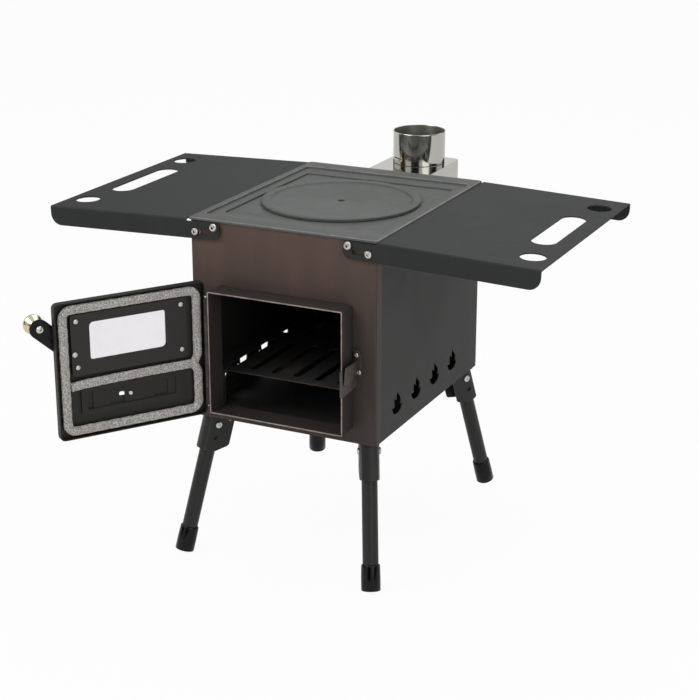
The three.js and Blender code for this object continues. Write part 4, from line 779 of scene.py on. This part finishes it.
def rope_line(name, points, closed):
    """A length of rope along points in the door's plane, laid flat for its pattern."""
    source = bpy.data.objects.new(name, drawn(name, [points], "3D", closed))
    bpy.context.collection.objects.link(source)
    mesh = braid.laid_on(source, Yarns=8, Half_Width=0.0050, Half_Thickness=0.0029, Yarn_Radius=0.00098,
                         Lay=0.0235, Step=0.00135, Stray_Fibres=90000.0, Finish=glass_rope)
    mesh.shade_smooth()
    # What lay flat, with its thickness along Z, stands in the door's plane.
    mesh.transform(door_place @ Matrix.Translation((0, ROPE_MIDDLE * MM, 0)) @ facing)
    return piece(name, mesh, [glass_rope], "door", [])


# The hinge side of the loop is pinched in where the bar meets it.
outer_run = rounded([(-83.1, 21.1), (83.1, 21.1), (83.1, 168.5), (-83.1, 168.5), (-83.1, 88.5),
                     (-77.6, 78.2), (-83.1, 67.9)], [10, 10, 10, 10, 7, 3.5, 7], 8)
outer_rope = rope_line("rope_seal_outer", [tuple(p) for p in outer_run], True)
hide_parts("door_gasket")
bar_run = [(76.2, 75.4), (60, 76.9), (20, 77.8), (-20, 78.3), (-60, 78.2), (-73.5, 78.2)]
rope_line("rope_seal_bar", bar_run, False)

# ---------------------------------------------------------------- handle
# A flat lever turns on a bolt through the door and carries a polished spool knob at its end.
leg_black = sprayed("leg_black", (0.021, 0.021, 0.020), rough=0.42, grain=0.4, sheen=0.3)
# The brackets' eased edges are lighter with wear and a painted highlight.
leg_edge = sprayed("leg_edge", (0.05, 0.048, 0.045), rough=0.35, grain=0.3, rubbed=(EDGE_BROWN, 0.3))
lever_black = sprayed("lever_black", (0.006, 0.006, 0.006), rough=0.36, grain=0.3, sheen=0.2)
champagne = Finish("champagne_metal")
turning = champagne.noise(900.0, 2.0, 0.5)
champagne_metal = champagne.shown(champagne.surface(
    Base_Color=champagne.mixed(turning, (0.56, 0.48, 0.33), (0.76, 0.69, 0.52)), Metallic=1.0,
    Roughness=turning * 0.08 + 0.12))
LEVER_X, LEVER_Z, LEVER_LENGTH, LEVER_HALF = 71.0, 115.0, 50.7, 11.5
LEVER_THICK, LEVER_GAP, LEVER_RAISED = 2.5, 0.3, math.radians(42.7)
lever_place = (door_place @ Matrix.Translation(Vector((LEVER_X, pan_front, LEVER_Z)) * MM)
               @ Matrix.Rotation(-LEVER_RAISED, 4, "Y"))


def half_round(x, radius, first, steps=16):
    """Half a circle about (x, 0), from a first angle on."""
    angles = [first + math.pi * k / steps for k in range(steps + 1)]
    return [(x + radius * math.cos(a), radius * math.sin(a)) for a in angles]


lever_outline = half_round(LEVER_LENGTH, LEVER_HALF, -math.pi / 2) + half_round(0, LEVER_HALF, math.pi / 2)
lever = cut_plate("handle_lever", lever_outline, [circle(0, 0, 2.4, 32), circle(LEVER_LENGTH, 0, 2.5, 32)],
                  LEVER_THICK, 0.45)
lever.transform(lever_place @ Matrix.Translation((0, -LEVER_GAP * MM, 0)) @ facing)
piece("handle_lever_plate", lever, [lever_black], "handle", ["handle_lever"])
lever_out = (lever_place.to_3x3() @ Vector((0, -1, 0))).normalized()
BOLT_SEAT = LEVER_GAP + LEVER_THICK + 0.3
fixings("handle_pivot_bolt_head", [(lever_place @ Vector((0, -BOLT_SEAT * MM, 0)), lever_out)], "handle",
        ["handle_pivot_bolt"], (4.6, 3.0), (2.1, 10.3), 1.9)
fixings("handle_pivot_inner_head", [(lever_place @ Vector((0, 7.6 * MM, 0)), -lever_out)], "handle", [],
        (3.2, 1.9), (2.0, 1.0), 1.4)
knob_mesh = turned("handle_knob", [
    (0, 23.0), (5.2, 23.0), (6.6, 22.9), (9.6, 22.2), (11.0, 21.2), (11.7, 19.8), (12.0, 18.4), (11.8, 17.0),
    (11.2, 15.8), (9.0, 12.6), (7.2, 9.6), (6.1, 7.4), (5.6, 6.0), (5.9, 4.2), (6.8, 2.4), (7.2, 1.4),
    (7.0, 0.4), (6.7, 0.0), (2.2, 0.0), (2.2, -3.1), (0, -3.1)], 72)
knob_place = lever_place @ Matrix.Translation(Vector((LEVER_LENGTH, -BOLT_SEAT, 0)) * MM)
knob_mesh.transform(knob_place @ Matrix.Rotation(math.pi / 2, 4, "X"))
piece("handle_knob_turned", knob_mesh, [champagne_metal], "handle", ["handle_knob"])
fixings("knob_bolt_head", [(knob_place @ Vector((0, BOLT_SEAT * MM, 0)), -lever_out)], "handle", [],
        (4.4, 3.0), (2.0, 1.0), 1.9)

# ---------------------------------------------------------------- side shelves
# Each shelf is one blank of 1.5 mm sheet, cut with a hand slot and two tool holes and folded down
# along both long edges. Its flanges run back as tabs that slide and turn on a screw in the wall.
# Along the shelf x is measured from its pivot, and heights too; the bend is on its outer face.
SHELF_HALF, BEND, SHELF_TOP, SHELF_SHEET = 160.0, 2.5, 15.0, 1.5
INNER, OUTER, TAB_END, TAB_DROP, FLANGE = 11.5, 204.1, -32.5, 3.0, 23.7
HAND_SLOT_WIDTH, HAND_SLOT_HALF, HAND_SLOT_EDGE = 30, 66, 21
TOOL_HOLE, TOOL_HOLE_EDGE, TOOL_HOLE_END = 15, 25.5, 44
LOCK_X, LOCK_RISE = -25.6, 6.8
ARC = BEND * math.pi / 2
BEND_STEPS = 6


def blank_t(depth):
    """How far out on the flat blank a point of the flange lies, from its depth below the top."""
    return SHELF_HALF - BEND + ARC + depth - BEND


def folded_shelf(name):
    """The shelf's blank is cut flat, folded round its two bends, thickened and eased."""
    foot, tab = blank_t(FLANGE), blank_t(TAB_DROP)
    outline = rounded(
        [(INNER, -tab), (TAB_END, -tab), (TAB_END, -foot), (OUTER, -foot), (OUTER, foot), (TAB_END, foot),
         (TAB_END, tab), (INNER, tab)], [0, 5, 9, 14, 14, 9, 5, 0], 8)
    slot_end = OUTER - HAND_SLOT_EDGE
    holes = [rectangle((slot_end - HAND_SLOT_WIDTH, slot_end), (-HAND_SLOT_HALF, HAND_SLOT_HALF), 14.99, 16)]
    holes += [circle(OUTER - TOOL_HOLE_EDGE, y * (SHELF_HALF - TOOL_HOLE_END), TOOL_HOLE) for y in (-1, 1)]
    for y in (-1, 1):
        t = y * blank_t(SHELF_TOP)
        holes.append(rectangle((-20.9, 2.9), (t - 2.9, t + 2.9), 2.85, 8))
        holes.append(circle(LOCK_X, y * blank_t(SHELF_TOP - LOCK_RISE), 2.6, 24))
    shape = drawn(name, [outline, *holes])
    shape.fill_mode = "BOTH"
    blank = bpy.data.objects.new(name, shape)
    bpy.context.collection.objects.link(blank)
    mesh = evaluated(blank)
    work = bmesh.new()
    work.from_mesh(mesh)
    bmesh.ops.remove_doubles(work, verts=work.verts, dist=1e-6)
    for side in (-1, 1):
        for k in range(BEND_STEPS + 1):
            t = side * (SHELF_HALF - BEND + ARC * k / BEND_STEPS) * MM
            everything = work.verts[:] + work.edges[:] + work.faces[:]
            bmesh.ops.bisect_plane(work, geom=everything, dist=1e-7, plane_co=(0, t, 0), plane_no=(0, 1, 0))
    for vert in work.verts:
        t, side = abs(vert.co.y) / MM, math.copysign(1, vert.co.y)
        past = t - (SHELF_HALF - BEND)
        if past <= 0:
            y, z = t, 0.0
        elif past < ARC:
            y, z = SHELF_HALF - BEND + BEND * math.sin(past / BEND), -BEND * (1 - math.cos(past / BEND))
        else:
            y, z = SHELF_HALF, -BEND - (past - ARC)
        vert.co = Vector((vert.co.x, side * y * MM, (SHELF_TOP + z) * MM))
    for face in work.faces:
        face.smooth = True
    if sum(face.normal.z * face.calc_area() for face in work.faces) < 0:
        bmesh.ops.reverse_faces(work, faces=work.faces)
    work.to_mesh(mesh)
    work.free()
    mesh.materials.clear()
    mesh.materials.append(None)
    mesh.materials.append(None)
    made = bpy.data.objects.new(name, mesh)
    bpy.context.collection.objects.link(made)
    thick = made.modifiers.new("sheet", "SOLIDIFY")
    thick.thickness, thick.offset, thick.use_even_offset = SHELF_SHEET * MM, -1, True
    bevel = made.modifiers.new("eased_edges", "BEVEL")
    bevel.width, bevel.segments, bevel.material = 0.35 * MM, 2, 1
    bevel.limit_method, bevel.angle_limit = "ANGLE", math.radians(45)
    made.modifiers.new("flat_faces", "WEIGHTED_NORMAL").keep_sharp = False
    return evaluated(made)


shelf_grey = sprayed("shelf_grey", (0.033, 0.0355, 0.0345), rough=0.58, mottle=0.42, sheen=0.11)
# The shelves' eased edges are lighter with wear and a painted highlight.
shelf_edge = sprayed("shelf_edge", (0.034, 0.034, 0.031), rough=0.45, sheen=0.3, rubbed=(EDGE_BROWN, 0.25))
PIVOT_X, PIVOT_Z, DROOP = 112.5, 233.0, math.radians(2)
for side, sign in (("right", 1), ("left", -1)):
    shelf_place = Matrix.Translation(at(sign * PIVOT_X, 0, PIVOT_Z)) @ Matrix.Rotation(DROOP * sign, 4, "Y")
    mesh = folded_shelf(side + "_shelf")
    if sign < 0:
        mesh.transform(Matrix.Rotation(math.pi, 4, "Z"))
    mesh.transform(shelf_place)
    piece(side + "_shelf_folded", mesh, [shelf_grey, shelf_edge], side + "_shelf", [side + "_shelf"])
    pivots, locks = [], []
    for direction in (FORWARD, BACKWARD):
        out_y = direction.y * (SHELF_HALF + 0.3)
        pivots.append((at(sign * PIVOT_X, out_y, PIVOT_Z), direction))
        locks.append((shelf_place @ (Vector((sign * LOCK_X, out_y, LOCK_RISE)) * MM), direction))
    fixings(side + "_pivot_screws", pivots, "firebox",
            [f"{side}_front_pivot_screw", f"{side}_back_pivot_screw"], (4.3, 2.6), (2.3, 8.0), 1.8)
    fixings(side + "_lock_screws", locks, side + "_shelf",
            [f"{side}_front_lock_screw", f"{side}_back_lock_screw"], (4.7, 4.1), (2.3, 1.8), 1.9)
    finish_nodes(zinc_plate, f"{side}_front_pivot_washer", f"{side}_back_pivot_washer")

# ---------------------------------------------------------------- legs
# Each leg is a thin steel tube with a glossy cap pushed on its foot. It turns on a bolt in a folded
# bracket under the firebox, and the bracket's web stops it when it is out.
cap = Finish("cap_black")
scuff = cap.noise(240.0, 4.0, 0.6)
cap_black = cap.shown(cap.surface(
    Base_Color=cap.mixed(scuff.rising(0.5, 0.8), (0.003, 0.003, 0.003), (0.012, 0.012, 0.013)),
    Roughness=scuff * 0.14 + 0.05, Specular_IOR_Level=0.22, Coat_Weight=0.0))
HEADING, SPLAY, LEG_LENGTH = math.radians(28.5), math.radians(16.5), 166
LEG_X, LEG_Y, LEG_Z = 105.6, 141.5, -13
BOLT_REACH, BRACKET_CHEEK = 12.1, 11.82
RIVET_BEHIND, RIVET_RISE, RIVET = 17.4, 4.2, 3.1
tube_end = 3.3 - LEG_LENGTH
tube_profile = [(8.3, tube_end), (9.5, tube_end), (9.5, 4.7), (9.3, 5.0), (8.5, 5.0), (8.3, 4.7)]
cap_profile = [(0, 0), (10.6, 0), (11.3, 0.3), (11.7, 1.0), (11.65, 16), (11.35, 29), (11.2, 30.4),
               (10.8, 31.2), (10.2, 31.5), (9.8, 31.4), (9.8, 3), (0, 3)]
for end, y in (("front", -1), ("rear", 1)):
    for side, x in (("left", -1), ("right", 1)):
        name = f"{end}_{side}"
        turn = math.atan2(y * math.cos(HEADING), x * math.sin(HEADING))
        leg_place = Matrix.Translation(at(x * LEG_X, y * LEG_Y, LEG_Z)) @ Matrix.Rotation(turn, 4, "Z")
        splayed = leg_place @ Matrix.Rotation(-SPLAY, 4, "Y")
        tube = turned(name + "_tube", tube_profile, 64, joined=True)
        tube.transform(splayed)
        piece(name + "_leg_tube_drawn", tube, [leg_black], name + "_leg", [name + "_leg_tube"])
        foot = turned(name + "_cap", cap_profile, 64)
        foot.transform(splayed @ Matrix.Translation((0, 0, -LEG_LENGTH * MM)))
        # The cap is worn flat where it stands on the floor.
        work = bmesh.new()
        work.from_mesh(foot)
        cut = bmesh.ops.bisect_plane(work, geom=work.verts[:] + work.edges[:] + work.faces[:], dist=1e-7,
                                     plane_co=(0, 0, 0), plane_no=(0, 0, -1), clear_outer=True)
        rim = [e for e in cut["geom_cut"] if isinstance(e, bmesh.types.BMEdge)]
        bmesh.ops.contextual_create(work, geom=rim)
        bmesh.ops.recalc_face_normals(work, faces=work.faces)
        work.to_mesh(foot)
        work.free()
        foot.set_sharp_from_angle(angle=math.radians(35))
        piece(name + "_foot_cap_moulded", foot, [cap_black], name + "_leg", [name + "_foot_cap"])
        bracket = eased(name + "_leg_bracket", 0.35)
        bracket.materials.append(None)
        to_leg = leg_place.inverted()
        for face in bracket.polygons:
            near = to_leg @ face.center / MM
            on_rivet = math.hypot(near.x + RIVET_BEHIND, near.z - RIVET_RISE) < RIVET
            if abs(near.y) > BRACKET_CHEEK and on_rivet:
                face.material_index = 2
        piece(name + "_bracket_folded", bracket, [leg_black, leg_edge, zinc_plate], "firebox",
              [name + "_leg_bracket"])
        axis = (leg_place.to_3x3() @ Vector((0, 1, 0))).normalized()
        heads = [(leg_place @ Vector((0, way * BOLT_REACH * MM, 0)), axis * way) for way in (-1, 1)]
        fixings(name + "_leg_bolt_heads", heads, "firebox", [name + "_leg_bolt"],
                (4.3, 2.2), (2.3, 12.0), 1.7)

# ---------------------------------------------------------------- flue box and collar
# A folded stainless box carries the smoke out of the back wall to a round collar, over which the
# pipe slips. A brass-tinted screw in a short slot locks the pipe.
bare = Finish("stainless_steel")
rolling = bare.noise(300.0, 3.0, 0.6, bare.place((1, 1, 0.03)))
stain = bare.noise(18.0, 3.0, 0.6).rising(0.5, 0.8)
stainless_steel = bare.shown(bare.surface(
    Base_Color=bare.mixed(stain * 0.35, (0.52, 0.51, 0.475), (0.42, 0.39, 0.33)), Metallic=1.0,
    Roughness=rolling * 0.08 + 0.07, Normal=bare.bump(rolling, 0.04, 0.0002)))
piece("flue_box_folded", eased("flue_box", 0.25), [stainless_steel, stainless_steel], "firebox", ["flue_box"])
collar_low, collar_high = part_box("flue_collar")
COLLAR_OUTER, COLLAR_INNER, SCREW_HEIGHT = 34.5, 33.5, 8
tall = (collar_high[2] - collar_low[2]) / MM
collar_mesh = turned("flue_collar", [
    (32.1, 0), (34.2, 0), (COLLAR_OUTER, 0.3), (COLLAR_OUTER, tall - 1.2), (COLLAR_OUTER, tall - 0.4),
    (34.2, tall), (33.8, tall), (COLLAR_INNER, tall - 0.4), (COLLAR_INNER, 1.2), (33.2, 1.0),
    (32.1, 1.0)], 160, joined=True)


def bored(mesh, cutters, name):
    """A mesh with other solids taken out of it."""
    made = bpy.data.objects.new(name, mesh)
    bpy.context.collection.objects.link(made)
    others = []
    for i, cutter in enumerate(cutters):
        other = bpy.data.objects.new(f"{name}_cutter_{i}", cutter)
        bpy.context.collection.objects.link(other)
        others.append(other)
        taken = made.modifiers.new("taken_out", "BOOLEAN")
        taken.operation, taken.object, taken.solver = "DIFFERENCE", other, "EXACT"
    mesh = evaluated(made)
    for other in others:
        bpy.data.objects.remove(other)
    return mesh


# A slot runs from the screw's hole a little way round the collar.
SCREW_TURN, SLOT_DEGREES, SLOT_HEIGHT = math.radians(-110), 28, 1.6
WITHIN, BEYOND = 31, 37  # the cutter reaches from inside the collar's wall to outside it
slot_turns = [SCREW_TURN + math.radians(k - SLOT_DEGREES) for k in range(SLOT_DEGREES + 1)]
slot_outline = ([(WITHIN * math.cos(a), WITHIN * math.sin(a)) for a in slot_turns]
                + [(BEYOND * math.cos(a), BEYOND * math.sin(a)) for a in reversed(slot_turns)])
slot_cutter = cut_plate("slot", slot_outline, [], SLOT_HEIGHT, 0.05)
slot_cutter.transform(Matrix.Translation((0, 0, (SCREW_HEIGHT - SLOT_HEIGHT / 2) * MM)))
bore_cutter = turned("bore", [(0, 30), (2.2, 30), (2.2, 38), (0, 38)], 32)
bore_cutter.transform(Matrix.Translation((0, 0, SCREW_HEIGHT * MM)) @ Matrix.Rotation(SCREW_TURN, 4, "Z")
                      @ Matrix.Rotation(math.pi / 2, 4, "Y"))
collar_mesh = bored(collar_mesh, [slot_cutter, bore_cutter], "flue_collar_bored")
collar_mesh.shade_smooth()
collar_mesh.set_sharp_from_angle(angle=math.radians(40))
collar_centre = middle((collar_low, collar_high))
collar_mesh.transform(Matrix.Translation((collar_centre.x, collar_centre.y, collar_low[2])))
# Inside, below a narrow rim, the collar is given a darker, duller steel.
inside_finish = Finish("sooted_steel")
inside_cloud = inside_finish.noise(40.0, 4.0, 0.6)
sooted_steel = inside_finish.shown(inside_finish.surface(
    Base_Color=inside_finish.mixed(inside_cloud, (0.055, 0.055, 0.045), (0.15, 0.15, 0.125)), Metallic=0.7,
    Roughness=inside_cloud * 0.2 + 0.35))
PLAIN_RIM = 1.0
# Below that rim the collar's inner faces take the darker steel.
for face in collar_mesh.polygons:
    inner = (face.center.xy - collar_centre.xy).length < (COLLAR_INNER + 0.1) * MM
    face.material_index = 1 if inner and face.center.z < collar_high[2] - PLAIN_RIM * MM else 0
piece("flue_collar_rolled", collar_mesh, [stainless_steel, sooted_steel], "firebox", ["flue_collar"])
brassy = Finish("brass_tint")
brass_tint = brassy.shown(brassy.surface(
    Base_Color=brassy.mixed(brassy.noise(300.0), (0.42, 0.33, 0.14), (0.62, 0.53, 0.30)), Metallic=1.0,
    Roughness=brassy.noise(700.0) * 0.15 + 0.2))
spoke = Vector((math.cos(SCREW_TURN), math.sin(SCREW_TURN), 0))
BACK_WALL, COLLAR_OUT, COLLAR_FOOT, HEAD_GAP = 156.2, 80.8, 245.3, 0.3
screw_middle = at(0, BACK_WALL + COLLAR_OUT, COLLAR_FOOT + SCREW_HEIGHT)
screw_seat = screw_middle + spoke * (COLLAR_OUTER + HEAD_GAP) * MM
fixings("collar_screw", [(screw_seat, spoke)], "firebox", ["flue_collar_screw"], (3.4, 2.0), (1.9, 5.0), 1.4,
        finish=brass_tint)
